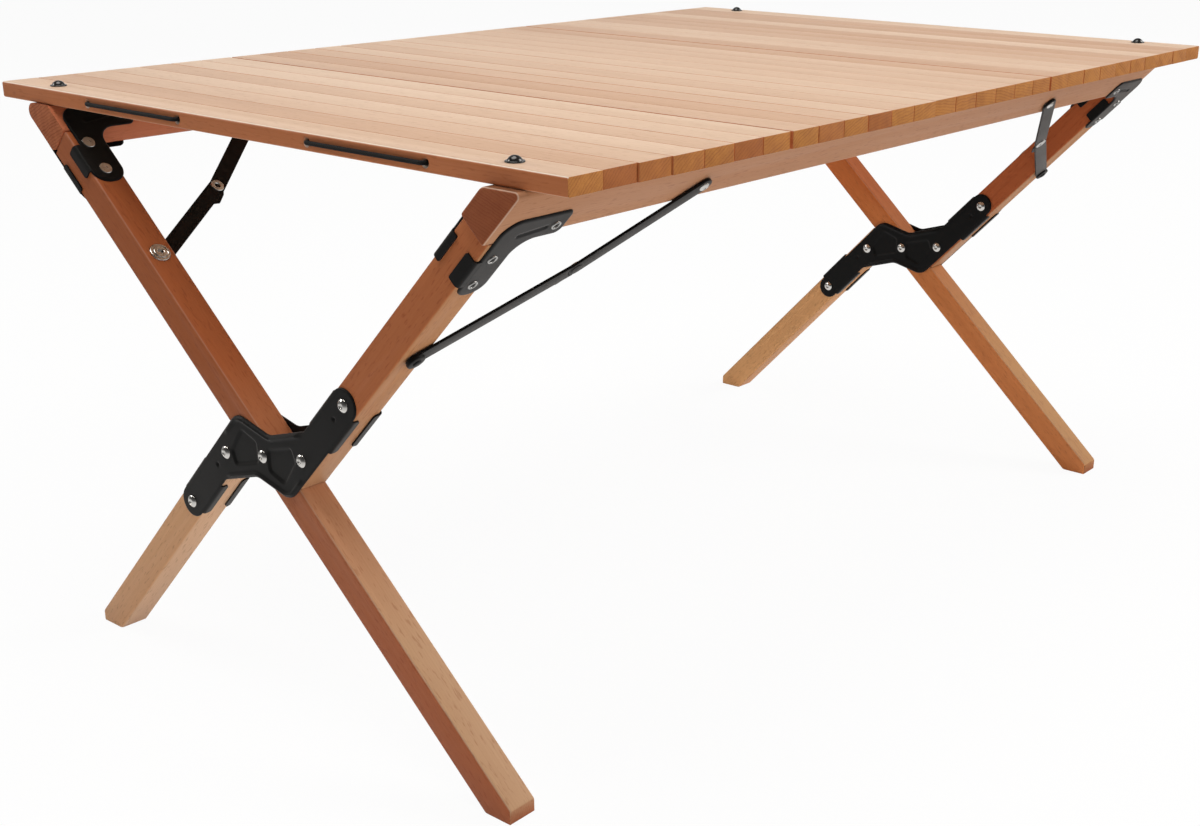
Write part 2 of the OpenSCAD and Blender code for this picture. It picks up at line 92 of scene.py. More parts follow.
HALF_OFFSET = LEG_W + LEG_GAP
RAIL_H = 39.5 * MM
RAIL_INSET = 46 * MM
RAIL_TOP_Y = SLAT_END - RAIL_INSET
RAIL_TOP_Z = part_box("left_rail")[1].z
# The right rail, with its stay pins, lies off the middle towards the near end
RAIL_SHIFT = -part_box("right_rail")[0].x - LEG_END
PLATE_T = 1.5 * MM

RAIL_FROM_PIVOT = math.hypot(RAIL_TOP_Y, RAIL_TOP_Z - PIVOT_Z)
ANGLE_A = math.atan2(RAIL_TOP_Z - PIVOT_Z, RAIL_TOP_Y)
ANGLE_B = ANGLE_A + math.asin(HALF_OFFSET / RAIL_FROM_PIVOT)
JOINT = RAIL_FROM_PIVOT - RAIL_H

# Places on a leg and its rail: distance in from the leg's face at the table's end, and up from the cross
STAY_BOLT = Vector((LEG_T / 2, JOINT - 123 * MM))
STAY_KNEE = Vector((117 * MM, JOINT - 54.5 * MM))
STAY_PIN = Vector((198 * MM, JOINT + 15 * MM))
CORNER_RIVETS = (
    (LEG_T / 2, JOINT - 15 * MM),
    (LEG_T / 2, JOINT - 41 * MM),
    (52 * MM, JOINT + 8.5 * MM),
)
CROSS_RIVET_ROWS = mm(36, 108)
CROSS_RIVETS = ((0, 0),) + tuple((s * HALF_OFFSET, s * along) for s in (1, -1) for along in CROSS_RIVET_ROWS)
LINK_W = 13 * MM
LINK_T = 1.9 * MM
LINK_GAP = 0.9 * MM
LINK_O = LEG_SIDE + LINK_GAP
LINKS_END_O = LINK_O + LINK_T
CORD_ROWS = mm(70.5, 182.5)
CORD_Z = TABLE_H - SLAT_T / 2
PEG_INSET = 10 * MM
PEG_Y = RAIL_TOP_Y - PEG_INSET


def leg_matrix(side, end):
    """From a leg's own frame: distance in from its face at the table's end, outwards, and up the leg."""
    right = side == "right"
    y_way = -1 if right else 1
    x_way = 1 if end == "near" else -1
    angle = ANGLE_B if right else ANGLE_A
    inwards = Vector((x_way, 0, 0))
    outwards = Vector((0, y_way * math.sin(angle), -math.cos(angle)))
    upwards = Vector((0, y_way * math.cos(angle), math.sin(angle)))
    origin = Vector((-x_way * LEG_END, 0, PIVOT_Z)) + outwards * (HALF_OFFSET if right else 0)
    return Matrix.Translation(origin) @ Matrix((inwards, outwards, upwards)).transposed().to_4x4()


def stay_pin(side, end):
    shift = RAIL_SHIFT if side == "right" else 0
    return STAY_PIN + Vector((shift if end == "far" else -shift, 0))


def cross_matrix(end):
    """The frame of the split leg's middle line: distance in from the table's end, outwards, and up it."""
    return leg_matrix("right", end) @ Matrix.Translation((0, -HALF_OFFSET, 0))


# Shader helpers


def give(tree, node, inputs):
    """Links a node's inputs, or sets them."""
    for name, value in inputs.items():
        socket = node.inputs[name]
        if isinstance(value, bpy.types.NodeSocket):
            tree.links.new(value, socket)
        else:
            socket.default_value = value


def add(tree, kind, inputs=None, **settings):
    node = tree.nodes.new(kind)
    for name, value in settings.items():
        setattr(node, name, value)
    give(tree, node, inputs or {})
    return node


def calc(tree, operation, a, b=0.0, clamp=False):
    return add(tree, "ShaderNodeMath", {0: a, 1: b}, operation=operation, use_clamp=clamp).outputs[0]


def times(tree, a, b, clamp=False):
    return calc(tree, "MULTIPLY", a, b, clamp)


def plus(tree, base, value, scale, middle=0.0):
    """The base with a share of a value added. The value counts from its middle."""
    if middle:
        value = calc(tree, "SUBTRACT", value, middle)
    return calc(tree, "ADD", base, times(tree, value, scale))


def mix(tree, factor, a, b, blend_type="MIX"):
    settings = {"data_type": "RGBA", "blend_type": blend_type}
    return add(tree, "ShaderNodeMix", {0: factor, 6: a, 7: b}, **settings).outputs[2]


def noise(tree, vector, waves, detail=2.0, roughness=0.5):
    """Noise whose waves a metre are given for each axis."""
    stretched = add(tree, "ShaderNodeMapping", {"Vector": vector, "Scale": waves}).outputs[0]
    inputs = {"Vector": stretched, "Scale": 1.0, "Detail": detail, "Roughness": roughness}
    return add(tree, "ShaderNodeTexNoise", inputs).outputs[0]


def ramp(tree, value, *stops):
    node = add(tree, "ShaderNodeValToRGB", {0: value})
    elements = node.color_ramp.elements
    while len(elements) < len(stops):
        elements.new(0.5)
    for element, (position, level) in zip(elements, stops):
        element.position = position
        element.color = (level, level, level, 1)
    return node.outputs[0]


def coords(tree):
    return add(tree, "ShaderNodeTexCoord").outputs


def split(tree, vector):
    return add(tree, "ShaderNodeSeparateXYZ", {0: vector}).outputs


def bump(tree, height, strength, distance):
    inputs = {"Height": height, "Strength": strength, "Distance": distance}
    return add(tree, "ShaderNodeBump", inputs).outputs[0]


def material(name):
    made = bpy.data.materials.new(name)
    made.use_nodes = True
    return made, made.node_tree, made.node_tree.nodes["Principled BSDF"]


def rgba(colour):
    return (*colour, 1.0)


def between(a, b, share):
    return tuple(x + (y - x) * share for x, y in zip(a, b))


# Beech: growth rings about a line beside the piece, fibres, and short dark flecks along the grain

BEECH_INPUTS = {
    "Vector": ("Grain", "Centre"),
    "Float": ("End", "Edge", "Edge highlight", "Fleck"),
    "Color": ("Shading tint", "Light", "Dark", "End light", "End dark"),
}
BEECH_OUTPUTS = {"Color": ("Color",), "Float": ("Roughness", "Height")}
RING_SPACING = 2.2 * MM
RING_STOPS = ((0.0, 0.1), (0.5, 0.2), (0.84, 1.0), (1.0, 0.1))
YEAR_STOPS = ((0.32, 0.25), (0.66, 1.0))
FLECK_STOPS = ((0.6, 0.0), (0.72, 1.0))
PORE_STOPS = ((0.56, 0.0), (0.7, 1.0))
# Waves a metre: across the grain twice, and along it
WANDER_WAVES = (5, 5, 1.1)
RIPPLE_WAVES = (90, 90, 6)
YEAR_WAVES = (170, 1, 1)
TONE_WAVES = (22, 22, 1.8)
FIBRE_WAVES = (1000, 1000, 16)
FLECK_WAVES = (620, 620, 120)
PORE_WAVES = (1500, 1500, 40)
STAIN_WAVES = (120, 120, 30)
# Shares in the colour of long grain and of end grain
RING_SHADE = 0.34
TONE_SHADE = 1.5
FIBRE_SHADE = 0.75
LEAST_SHADE = 0.3
END_RING_SHADE = 0.85
PORE_SHADE = 0.35
STAIN_MIDDLE = 0.45
LEAST_END_SHADE = 0.02
# The painted highlight that the eased upper edges pale towards
EDGE_HIGHLIGHT = (1.0, 0.93, 0.82)
EDGE_HIGHLIGHT_SHARE = 0.8
LONG_ROUGH = 0.4
FIBRE_ROUGH = 0.22
END_ROUGH = 0.15


def beech_group():
    tree = bpy.data.node_groups.new("beech", "ShaderNodeTree")
    for way, sockets in (("INPUT", BEECH_INPUTS), ("OUTPUT", BEECH_OUTPUTS)):
        for kind, names in sockets.items():
            for name in names:
                tree.interface.new_socket(name, in_out=way, socket_type=f"NodeSocket{kind}")
    given = add(tree, "NodeGroupInput").outputs
    made = add(tree, "NodeGroupOutput")

    moved = {0: given["Grain"], 1: given["Centre"]}
    place = add(tree, "ShaderNodeVectorMath", moved, operation="ADD").outputs[0]
    squares = [times(tree, part, part) for part in split(tree, place)[:2]]
    radius = calc(tree, "SQRT", calc(tree, "ADD", *squares))
    radius = plus(tree, radius, noise(tree, place, WANDER_WAVES, detail=1.0), 0.03)
    phase = plus(tree, calc(tree, "DIVIDE", radius, RING_SPACING), noise(tree, place, RIPPLE_WAVES), 1.6)
    ring = ramp(tree, calc(tree, "FRACT", phase), *RING_STOPS)
    # Some years' rings are stronger than others
    year = add(tree, "ShaderNodeCombineXYZ", {0: radius}).outputs[0]
    ring = times(tree, ring, ramp(tree, noise(tree, year, YEAR_WAVES), *YEAR_STOPS))

    tone = noise(tree, place, TONE_WAVES)
    fibre = noise(tree, place, FIBRE_WAVES, detail=3.0, roughness=0.65)
    fleck = ramp(tree, noise(tree, place, FLECK_WAVES, detail=1.0), *FLECK_STOPS)
    pores = ramp(tree, noise(tree, place, PORE_WAVES, detail=1.0), *PORE_STOPS)
    stain = noise(tree, place, STAIN_WAVES, detail=3.0)

    shade = plus(tree, times(tree, ring, RING_SHADE), tone, TONE_SHADE, 0.5)
    shade = plus(tree, shade, fibre, FIBRE_SHADE, 0.5)
    shade = calc(tree, "ADD", shade, LEAST_SHADE, clamp=True)
    long_grain = mix(tree, shade, given["Light"], given["Dark"])
    fleck_colour = mix(tree, 0.5, given["Dark"], given["End dark"])
    long_grain = mix(tree, times(tree, fleck, given["Fleck"]), long_grain, fleck_colour)
    # Faces across X take a tint of painted shade, which lightens instead on some far pieces
    shaded_grain = mix(tree, 1.0, long_grain, given["Shading tint"], "MULTIPLY")
    long_grain = mix(tree, given["Edge"], long_grain, shaded_grain)

    end_shade = plus(tree, times(tree, ring, END_RING_SHADE), pores, PORE_SHADE)
    end_shade = plus(tree, end_shade, stain, 1.0, STAIN_MIDDLE)
    end_shade = calc(tree, "ADD", end_shade, LEAST_END_SHADE, clamp=True)
    end_grain = mix(tree, end_shade, given["End light"], given["End dark"])

    colour = mix(tree, given["End"], long_grain, end_grain)
    # Eased upper edges pale towards a painted highlight
    edge_highlight = mix(tree, EDGE_HIGHLIGHT_SHARE, given["Light"], rgba(EDGE_HIGHLIGHT))
    colour = mix(tree, given["Edge highlight"], colour, edge_highlight)
    rough = plus(tree, plus(tree, LONG_ROUGH, fibre, FIBRE_ROUGH), given["End"], END_ROUGH)
    height = calc(tree, "SUBTRACT", fibre, times(tree, fleck, 0.5))
    give(tree, made, {"Color": colour, "Roughness": rough, "Height": height})
    return tree


BEECH = beech_group()
ALONG_Y = (math.pi / 2, 0, 0)
ALONG_X = (0, -math.pi / 2, 0)
# Shares of the normal at which a face counts as an end, takes the tint of painted shade (on a rail only the flat
# top does, as the slats' painted shadow), is the band of an eased edge that takes a painted highlight, and faces
# up
END_STOPS = ((0.6, 0.0), (0.85, 1.0))
SHADED_FACE_STOPS = ((0.45, 0.0), (0.8, 1.0))
RAIL_TOP_SHADOW_STOPS = ((0.85, 0.0), (0.97, 1.0))
HIGHLIGHT_BAND_STOPS = ((0.2, 0.0), (0.42, 1.0), (0.62, 1.0), (0.85, 0.0))
UP_STOPS = ((0.2, 0.0), (0.4, 1.0))
# Heights between which a leg's colour fades: painted shade above, under the top, and painted light from the floor
# below
FLOOR_LIGHT_STOPS = ((0.1, 1.0), (0.27, 0.0))
# How far the rings' middle lies from the piece, in millimetres, and the length of log that pieces come from
PITH_AWAY = (18, 75)
LOG_L = 9
GRAIN_BUMP = 0.25
GRAIN_DEPTH = 0.25 * MM


def beech(name, turn, seed, tones, ends, shine, edge_highlight, fleck, low=None, rail=False, one_face=False):
    """
    Beech whose grain runs along the axis that turn brings to Z. tones are its light, its dark and a tint of
    painted shade, which lightens instead on some far pieces, and which its faces across the axis that turn brings
    to X take, or with one_face only the one towards the near end; on a rail only its flat top takes it, as the
    slats' painted shadow. ends are the end grain's light and dark. The share given after shine is how strong a
    painted highlight its upper edges take, or a rail's edges about its ends. low gives the tones that it fades to
    below the cross, as painted light from the floor, with painted shade above.
    """
    pick = random.Random(seed)
    made, tree, shader = material(name)
    spots = coords(tree)
    grain = add(tree, "ShaderNodeMapping", {"Vector": spots["Object"], "Rotation": turn}).outputs[0]
    turned_normal = {"Vector": spots["Normal"], "Rotation": turn}
    facing = add(tree, "ShaderNodeMapping", turned_normal, vector_type="VECTOR").outputs[0]
    ways = split(tree, facing)
    end = ramp(tree, calc(tree, "ABSOLUTE", ways[2]), *END_STOPS)
    # The faces across X, or with one_face the near one, take painted shade; on a rail the flat top takes the
    # slats' painted shadow
    across = times(tree, ways[0], -1.0) if one_face else calc(tree, "ABSOLUTE", ways[0])
    edge = ramp(tree, across, *(RAIL_TOP_SHADOW_STOPS if rail else SHADED_FACE_STOPS))
    edge_highlight_mask = ramp(tree, calc(tree, "ABSOLUTE", ways[2 if rail else 0]), *HIGHLIGHT_BAND_STOPS)
    edge_highlight_mask = times(tree, edge_highlight_mask, edge_highlight)
    # Only the upward-facing edges take the painted highlight
    if not rail:
        edge_highlight_mask = times(tree, edge_highlight_mask, ramp(tree, split(tree, spots["Normal"])[2], *UP_STOPS))
    around = pick.uniform(0, TURN)
    away = pick.uniform(*PITH_AWAY) * MM
    centre = (away * math.cos(around), away * math.sin(around), pick.uniform(0, LOG_L))
    light, dark, shading_tint = (rgba(c) for c in tones)
    # Painted shade above the cross and painted light from the floor below it
    if low:
        share = ramp(tree, split(tree, spots["Object"])[2], *FLOOR_LIGHT_STOPS)
        light, dark, shading_tint = (mix(tree, share, c, rgba(d)) for c, d in zip((light, dark, shading_tint), low))
    inputs = {
        "Grain": grain, "Centre": centre, "End": end, "Edge": edge, "Edge highlight": edge_highlight_mask, "Fleck": fleck,
        "Light": light, "Dark": dark, "Shading tint": shading_tint,
        "End light": rgba(ends[0]), "End dark": rgba(ends[1]),
    }
    wood = add(tree, "ShaderNodeGroup", inputs, node_tree=BEECH).outputs
    normal = bump(tree, wood["Height"], GRAIN_BUMP, GRAIN_DEPTH)
    give(tree, shader, {"Base Color": wood["Color"], "Roughness": wood["Roughness"], "Normal": normal})
    shader.inputs["Specular IOR Level"].default_value = shine
    return made


# Metals, pegs and cord


def clouded(name, waves, low, high, smooth, haze, grit=None, constants=None):
    """
    A finish that wanders between two colours, and in roughness by haze. grit is a finer relief's waves,
    detail, strength and depth.
    """
    made, tree, shader = material(name)
    place = coords(tree)["Object"]
    cloud = noise(tree, place, (waves,) * 3, detail=3.0)
    colour = mix(tree, cloud, rgba(low), rgba(high))
    give(tree, shader, {"Base Color": colour, "Roughness": plus(tree, smooth, cloud, haze)})
    if grit:
        grit_waves, detail, strength, depth = grit
        relief = noise(tree, place, grit_waves, detail)
        give(tree, shader, {"Normal": bump(tree, relief, strength, depth)})
    give(tree, shader, constants or {})
    return made


STRANDS = 6
STRAND_TURNS = 560


def braid():
    """Black braided elastic: two sets of strands that wind about the cord, from the tube's own map."""
    made, tree, shader = material("braided_cord")
    parts = split(tree, add(tree, "ShaderNodeUVMap", uv_map="around_along").outputs[0])
    around = times(tree, parts[0], TURN * STRANDS)
    along = times(tree, parts[1], TURN * STRAND_TURNS)
    crossing = [calc(tree, "SINE", calc(tree, way, around, along)) for way in ("ADD", "SUBTRACT")]
    strand = calc(tree, "MAXIMUM", *crossing)
    colour = mix(tree, times(tree, strand, 0.5, clamp=True), rgba((0.003,) * 3), rgba((0.014,) * 3))
    give(tree, shader, {"Base Color": colour, "Normal": bump(tree, strand, 0.5, 0.25 * MM)})
    give(tree, shader, {"Roughness": 0.72, "Specular IOR Level": 0.2, "Sheen Weight": 0.03})
    return made


ORANGE_PEEL = ((1100,) * 3, 2.0, 0.18, 0.15 * MM)
COAT = {
    "Specular IOR Level": 0.12,
    "Sheen Weight": 0.24,
    "Sheen Tint": (1.0, 0.92, 0.87, 1.0),
    "Sheen Roughness": 0.35,
}
SCRATCHES = ((2600, 2600, 500), 1.0, 0.1, 0.05 * MM)
METAL = {"Metallic": 1.0}
POWDER_COAT = clouded(
    "black_powder_coat", 45, (0.003,) * 3, (0.007, 0.0068, 0.0064), 0.38, 0.2, ORANGE_PEEL, COAT
)
ZINC = clouded("bright_zinc", 260, (0.5, 0.48, 0.45), (0.72, 0.7, 0.67), 0.08, 0.16, SCRATCHES, METAL)
DULL_ZINC = clouded("dull_zinc", 260, (0.28, 0.27, 0.26), (0.5, 0.49, 0.47), 0.12, 0.16, SCRATCHES, METAL)
PEG_BLACK = clouded("peg_black", 420, (0.008,) * 3, (0.02, 0.019, 0.018), 0.14, 0.16)
BRAID = braid()

# Mesh helpers


def place_object(name, data):
    made = bpy.data.objects.new(name, data)
    bpy.context.scene.collection.objects.link(made)
    return made


def finish_mesh(name, bm, finish, body, nodes=(), sharp=50):
    """Makes a piece of the mesh, with smooth shading between faces that meet flatter than the angle given."""
    bmesh.ops.recalc_face_normals(bm, faces=bm.faces)
    mesh = bpy.data.meshes.new(name)
    bm.to_mesh(mesh)
    bm.free()
    mesh.shade_smooth()
    mesh.set_sharp_from_angle(angle=math.radians(sharp))
    mesh.materials.append(finish)
    piece = place_object(name, mesh)
    if body:
        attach(piece, body)
    if nodes:
        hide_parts(*nodes)
    return piece


def stand_in(node, form, bm, finish, sharp=50):
    """Makes a piece that stands for a node."""
    finish_mesh(f"{node}_{form}", bm, finish, BODY_OF[node], (node,), sharp)


ARC_STEP = 0.9 * MM


def arc_corner(before, corner, after, radius):
    """Points of the arc that rounds a corner."""
    to_a = (before - corner).normalized()
    to_c = (after - corner).normalized()
    opening = to_a.angle(to_c)
    middle = corner + (to_a + to_c).normalized() * radius / math.sin(opening / 2)
    start = corner + to_a * radius / math.tan(opening / 2) - middle
    way = 1 if to_c.cross(to_a) > 0 else -1
    count = max(3, math.ceil(radius * (math.pi - opening) / ARC_STEP))
    first = math.atan2(start.y, start.x)
    return [
        middle + radius * Vector((math.cos(at), math.sin(at)))
        for at in (first + way * (math.pi - opening) * i / count for i in range(count + 1))
    ]


def outline(corners):
    """A closed outline from corners given as x, y and radius."""
    n = len(corners)
    points = [Vector(c[:2]) for c in corners]
    out = []
    for i, c in enumerate(corners):
        out += arc_corner(points[i - 1], points[i], points[(i + 1) % n], c[2])
    area = sum(a.cross(b) for a, b in zip(out, out[1:] + out[:1]))
    return out if area > 0 else out[::-1]


def resample(points, spacing):
    """The same closed outline, with no side longer than the spacing."""
    out = []
    for a, b in zip(points, points[1:] + points[:1]):
        count = max(1, math.ceil((b - a).length / spacing))
        out += [a + (b - a) * i / count for i in range(count)]
    return out


def inset(points, distance):
    out = []
    n = len(points)
    for i, p in enumerate(points):
        a = (p - points[i - 1]).normalized()
        b = (points[(i + 1) % n] - p).normalized()
        along = (a + b).normalized()
        out.append(p + Vector((-along.y, along.x)) * distance)
    return out


def distance_inside(places, points):
    """Distance of each place from a closed outline, positive inside it."""
    p = np.asarray([tuple(v) for v in places], float).reshape(-1, 2)
    a = np.asarray([tuple(v) for v in points], float)
    b = np.roll(a, -1, axis=0)
    d = b - a
    rel = p[:, None, :] - a[None]
    t = np.clip((rel * d).sum(2) / (d * d).sum(1), 0, 1)
    gap = np.linalg.norm(rel - t[..., None] * d, axis=2).min(1)
    above = (a[:, 1] > p[:, 1:2]) != (b[:, 1] > p[:, 1:2])
    cut = a[:, 0] + (p[:, 1:2] - a[:, 1]) * d[:, 0] / np.where(d[:, 1] == 0, 1e-12, d[:, 1])
    inside = (above & (p[:, :1] < cut)).sum(1) % 2 == 1
    return np.where(inside, gap, -gap)


def soft_step(x):
    x = np.clip(x, 0, 1)
    return x * x * (3 - 2 * x)


RIM_SHARES = (0.12, 0.35, 0.65, 1)
# A triangle's height to its side, and how many spacings the inner points keep from the rim
ROW_SHARE = 0.866
RIM_CLEAR = 0.6


def plate(bm, edge_line, thickness, fall, rim_w, matrix, spacing, relief=None, inner=True):
    """A sheet metal plate whose face falls away at its rim. relief gives how far a place is pressed out."""
    rim = resample(edge_line, spacing)
    loops = [rim] + [inset(rim, rim_w * share) for share in RIM_SHARES]
    places = []
    edges = []
    for loop in loops:
        first = len(places)
        places += loop
        edges += [(first + i, first + (i + 1) % len(loop)) for i in range(len(loop))]
    if inner:
        lo = Vector((min(p.x for p in rim), min(p.y for p in rim)))
        hi = Vector((max(p.x for p in rim), max(p.y for p in rim)))
        rows = math.ceil((hi.y - lo.y) / (spacing * ROW_SHARE))
        columns = math.ceil((hi.x - lo.x) / spacing)
        grid = [
            lo + Vector(((c + 0.5 * (r % 2)) * spacing, r * spacing * ROW_SHARE))
            for r in range(rows)
            for c in range(columns)
        ]
        keep = distance_inside(grid, rim) > rim_w + spacing * RIM_CLEAR
        places += [g for g, k in zip(grid, keep) if k]
    flat, _, faces, *_ = delaunay_2d_cdt(places, edges, [], 0, 1e-7, False)
    middles = [sum((flat[i] for i in face), Vector((0, 0))) / len(face) for face in faces]
    faces = [face for face, gap in zip(faces, distance_inside(middles, rim)) if gap > 0]
    depth = np.maximum(distance_inside(flat, rim), 0)
    pressed = relief(np.array([tuple(v) for v in flat])) if relief else np.zeros(len(flat))
    short = np.clip(1 - depth / rim_w, 0, 1)
    level = thickness + pressed - fall * (1 - np.sqrt(1 - short**2))
    top = [bm.verts.new(matrix @ Vector((*v, h))) for v, h in zip(flat, level)]
    low = [bm.verts.new(matrix @ Vector((*v, 0))) for v in flat]
    uses = {}
    for face in faces:
        bm.faces.new([top[i] for i in face])
        bm.faces.new([low[i] for i in reversed(face)])
        for i, j in zip(face, face[1:] + face[:1]):
            key = (min(i, j), max(i, j))
            uses[key] = None if key in uses else (i, j)
    for i, j in (pair for pair in uses.values() if pair):
        bm.faces.new((top[j], top[i], low[i], low[j]))


def lathe(bm, profile, matrix, segments=40, waist=None):
    """A closed solid turned about Z from (radius, height) pairs. waist shapes a ring's radius by angle."""
    rings = []
    for index, (radius, height) in enumerate(profile):
        if radius == 0:
            rings.append([bm.verts.new(matrix @ Vector((0, 0, height)))])
            continue
        ring = []
        for k in range(segments):
            at = TURN * k / segments
            r = radius * (waist(index, at) if waist else 1)
            ring.append(bm.verts.new(matrix @ Vector((r * math.cos(at), r * math.sin(at), height))))
        rings.append(ring)
    for a, b in zip(rings, rings[1:]):
        for k in range(segments):
            quad = [a[k % len(a)], a[(k + 1) % len(a)], b[(k + 1) % len(b)], b[k % len(b)]]
            bm.faces.new(list(dict.fromkeys(quad)))


def dome(radius, height, base, steps):
    """Profile of a low round head, from its rim to its middle."""
    ball = (radius**2 + height**2) / (2 * height)
    spread = math.asin(radius / ball)
    angles = [spread * (1 - i / steps) for i in range(steps)]
    curve = [(ball * math.sin(a), base + ball * math.cos(a) - ball + height) for a in angles]
    return curve + [(0, base + height)]


def tube(bm, path, diameter, sides, layer, start=0.0):
    """A round tube along a path, capped at both ends, with a map of turns around it and metres along it."""
    normal = Vector((0, 0, 1))
    angles = [TURN * k / sides for k in range(sides)]
    rings = []
    lengths = [start]
    for i, p in enumerate(path):
        way = (path[min(i + 1, len(path) - 1)] - path[max(i - 1, 0)]).normalized()
        side = way.cross(normal).normalized()
        lift = side.cross(way)
        spokes = [side * math.cos(a) + lift * math.sin(a) for a in angles]
        rings.append([bm.verts.new(p + spoke * diameter / 2) for spoke in spokes])
        if i:
            lengths.append(lengths[-1] + (p - path[i - 1]).length)
    for i, (a, b) in enumerate(zip(rings, rings[1:])):
        for k in range(sides):
            face = bm.faces.new((a[k], a[(k + 1) % sides], b[(k + 1) % sides], b[k]))
            spots = ((k, i), (k + 1, i), (k + 1, i + 1), (k, i + 1))
            for loop, (turn, row) in zip(face.loops, spots):
                loop[layer].uv = (turn / sides, lengths[row])
    bm.faces.new(rings[0][::-1])
    bm.faces.new(rings[-1])


# Wood

SAME_PLANE = math.radians(1)
SHARP_EDGE = math.radians(38)
EASE_STEPS = 3


def eased_copy(node, finish, width, settle=None, narrow=False):
    """
    The node's own shape with its sharp edges eased, in place of the node. settle moves each of its points a
    little. narrow keeps the eased strips from crossing.
    """
    bm = bmesh.new()
    bm.from_mesh(NODES[node].data)
    bmesh.ops.remove_doubles(bm, verts=bm.verts, dist=1e-6)
    for v in bm.verts if settle else ():
        settle(v.co)
    bmesh.ops.dissolve_limit(
        bm, angle_limit=SAME_PLANE, verts=bm.verts, edges=bm.edges, use_dissolve_boundaries=False
    )
    sharp = [e for e in bm.edges if len(e.link_faces) == 2 and e.calc_face_angle() > SHARP_EDGE]
    bmesh.ops.bevel(
        bm, geom=sharp, offset=width, offset_type="OFFSET", segments=EASE_STEPS, profile=0.5, affect="EDGES",
        clamp_overlap=narrow,
    )
    stand_in(node, "eased", bm, finish, sharp=32)


PALE = (0.69, 0.515, 0.385)
PALE_DARK = (0.6, 0.415, 0.29)
TAN = (0.59, 0.385, 0.26)
TAN_DARK = (0.48, 0.285, 0.18)
# More of the slats are pale than tan
TAN_POWER = 1.3
# Painted shade on the slats' long sides
SLAT_SIDE_SHADE = (0.88, 0.41, 0.2)
END_YELLOW = (0.48, 0.195, 0.038)
END_RED = (0.36, 0.108, 0.024)
END_DARK = (0.2, 0.052, 0.014)
END_CONTRAST = 0.75
TOP_SHINE = 0.25
# Strength of the painted highlight on the end slats' outer edges and on the edges at the seams
OUTER_EDGE_HIGHLIGHT = 0.9
SEAM_EDGE_HIGHLIGHT = 0.2
TOP_FLECK = 0.34
SLAT_EASE = 0.4 * MM
# How red the ends of these slats are
RED_ENDS = {2: 0.9, 3: 0.6, 4: 0.35, 6: 0.85, 9: 0.6, 11: 0.8}
MOST_RED = 0.25

# Gaps after the slats of these numbers, in millimetres. The cords draw the others tight.
OPEN_GAPS = {5: 1.1, 7: 2.4, 9: 1.1, 10: 1.3, 11: 1.1, 13: 1.3, 19: 2.4}
TIGHT_GAP = 0.65
SIDE_REACH = SLAT_W / 2 - 2 * MM
# The long edges between slats look crisper than their rounding
ROUNDED = 1.6 * MM
CRISPER = 0.3
END_PLAY = 0.25 * MM
# Distances that the right ends of the first slats stand out past the rest, in millimetres
ENDS_OUT = {
    2: -0.8, 3: 0.3, 4: 1.2, 5: 1.0, 6: 0.6, 7: 0.8, 8: 1.6, 9: 1.8, 10: 1.4, 11: 1.3, 12: 0.9, 13: 0.9,
}


def settler(number, pick):
    """Moves a slat's sides to the gaps beside it, and its ends by a little of their own."""
    low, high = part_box(SLAT_NAMES[number - 1])
    middle = (low.x + high.x) / 2
    gaps = [OPEN_GAPS.get(n, TIGHT_GAP) * MM for n in (number - 1, number)]
    spare = [(SLAT_PITCH - gap - SLAT_W) / 2 for gap in gaps]
    if number == 1:
        spare[0] = 0
    if number == len(SLAT_NAMES):
        spare[1] = 0
    ends = [pick.uniform(-END_PLAY, END_PLAY) for _ in SIDES]
    if number in ENDS_OUT:
        ends[0] = -ENDS_OUT[number] * MM

    def settle(p):
        side = low.x if p.x < middle else high.x
        face = low.z if p.z < CORD_Z else high.z
        at_end = abs(side) > TOP_END - MM
        if not at_end and abs(p.x - side) < ROUNDED and abs(p.z - face) < ROUNDED:
            p.x = side + (p.x - side) * CRISPER
            p.z = face + (p.z - face) * CRISPER
        if p.x < middle - SIDE_REACH:
            p.x -= spare[0]
        elif p.x > middle + SIDE_REACH:
            p.x += spare[1]
        if abs(p.y) > SLAT_END - MM:
            p.y += ends[p.y > 0]

    return settle


TONE_SEED = 11
LENGTH_SEED = 23
SLAT_GRAIN_SEED = 99


def dress_slats():
    pick = random.Random(TONE_SEED)
    lengths = random.Random(LENGTH_SEED)
    for number, name in enumerate(SLAT_NAMES, 1):
        tan = pick.random() ** TAN_POWER
        red = MOST_RED * pick.random()
        end_light = between(END_YELLOW, END_RED, RED_ENDS.get(number, red))
        tones = (between(PALE, TAN, tan), between(PALE_DARK, TAN_DARK, tan), SLAT_SIDE_SHADE)
        ends = (end_light, between(end_light, END_DARK, END_CONTRAST))
        # The end slats' outer edges take a stronger painted highlight
        edge_highlight = OUTER_EDGE_HIGHLIGHT if name in (FIRST_SLAT, LAST_SLAT) else SEAM_EDGE_HIGHLIGHT
        seed = SLAT_GRAIN_SEED + number
        finish = beech(f"beech_{name}", ALONG_Y, seed, tones, ends, TOP_SHINE, edge_highlight, TOP_FLECK)
        eased_copy(name, finish, SLAT_EASE, settler(number, lengths))


FRAME_END = (0.34, 0.098, 0.038)
FRAME_END_DARK = (0.24, 0.062, 0.024)
LEFT_RAIL_END = (0.5, 0.16, 0.068)
FRAME_SHINE = 0.12
# Strength of the painted highlight on the legs' upper edges
FRAME_EDGE_HIGHLIGHT = 0.1
FRAME_FLECK = 0.5
# Light, dark, and a tint of painted shade on the faces towards the near end; on the far whole legs and far lower
# halves the tint paints light there instead
WHOLE_LEG = {
    "near": ((0.46, 0.135, 0.047), (0.37, 0.098, 0.032), (0.9, 0.9, 0.88)),
    "far": ((0.44, 0.125, 0.037), (0.35, 0.09, 0.025), (1.68, 1.75, 1.6)),
}
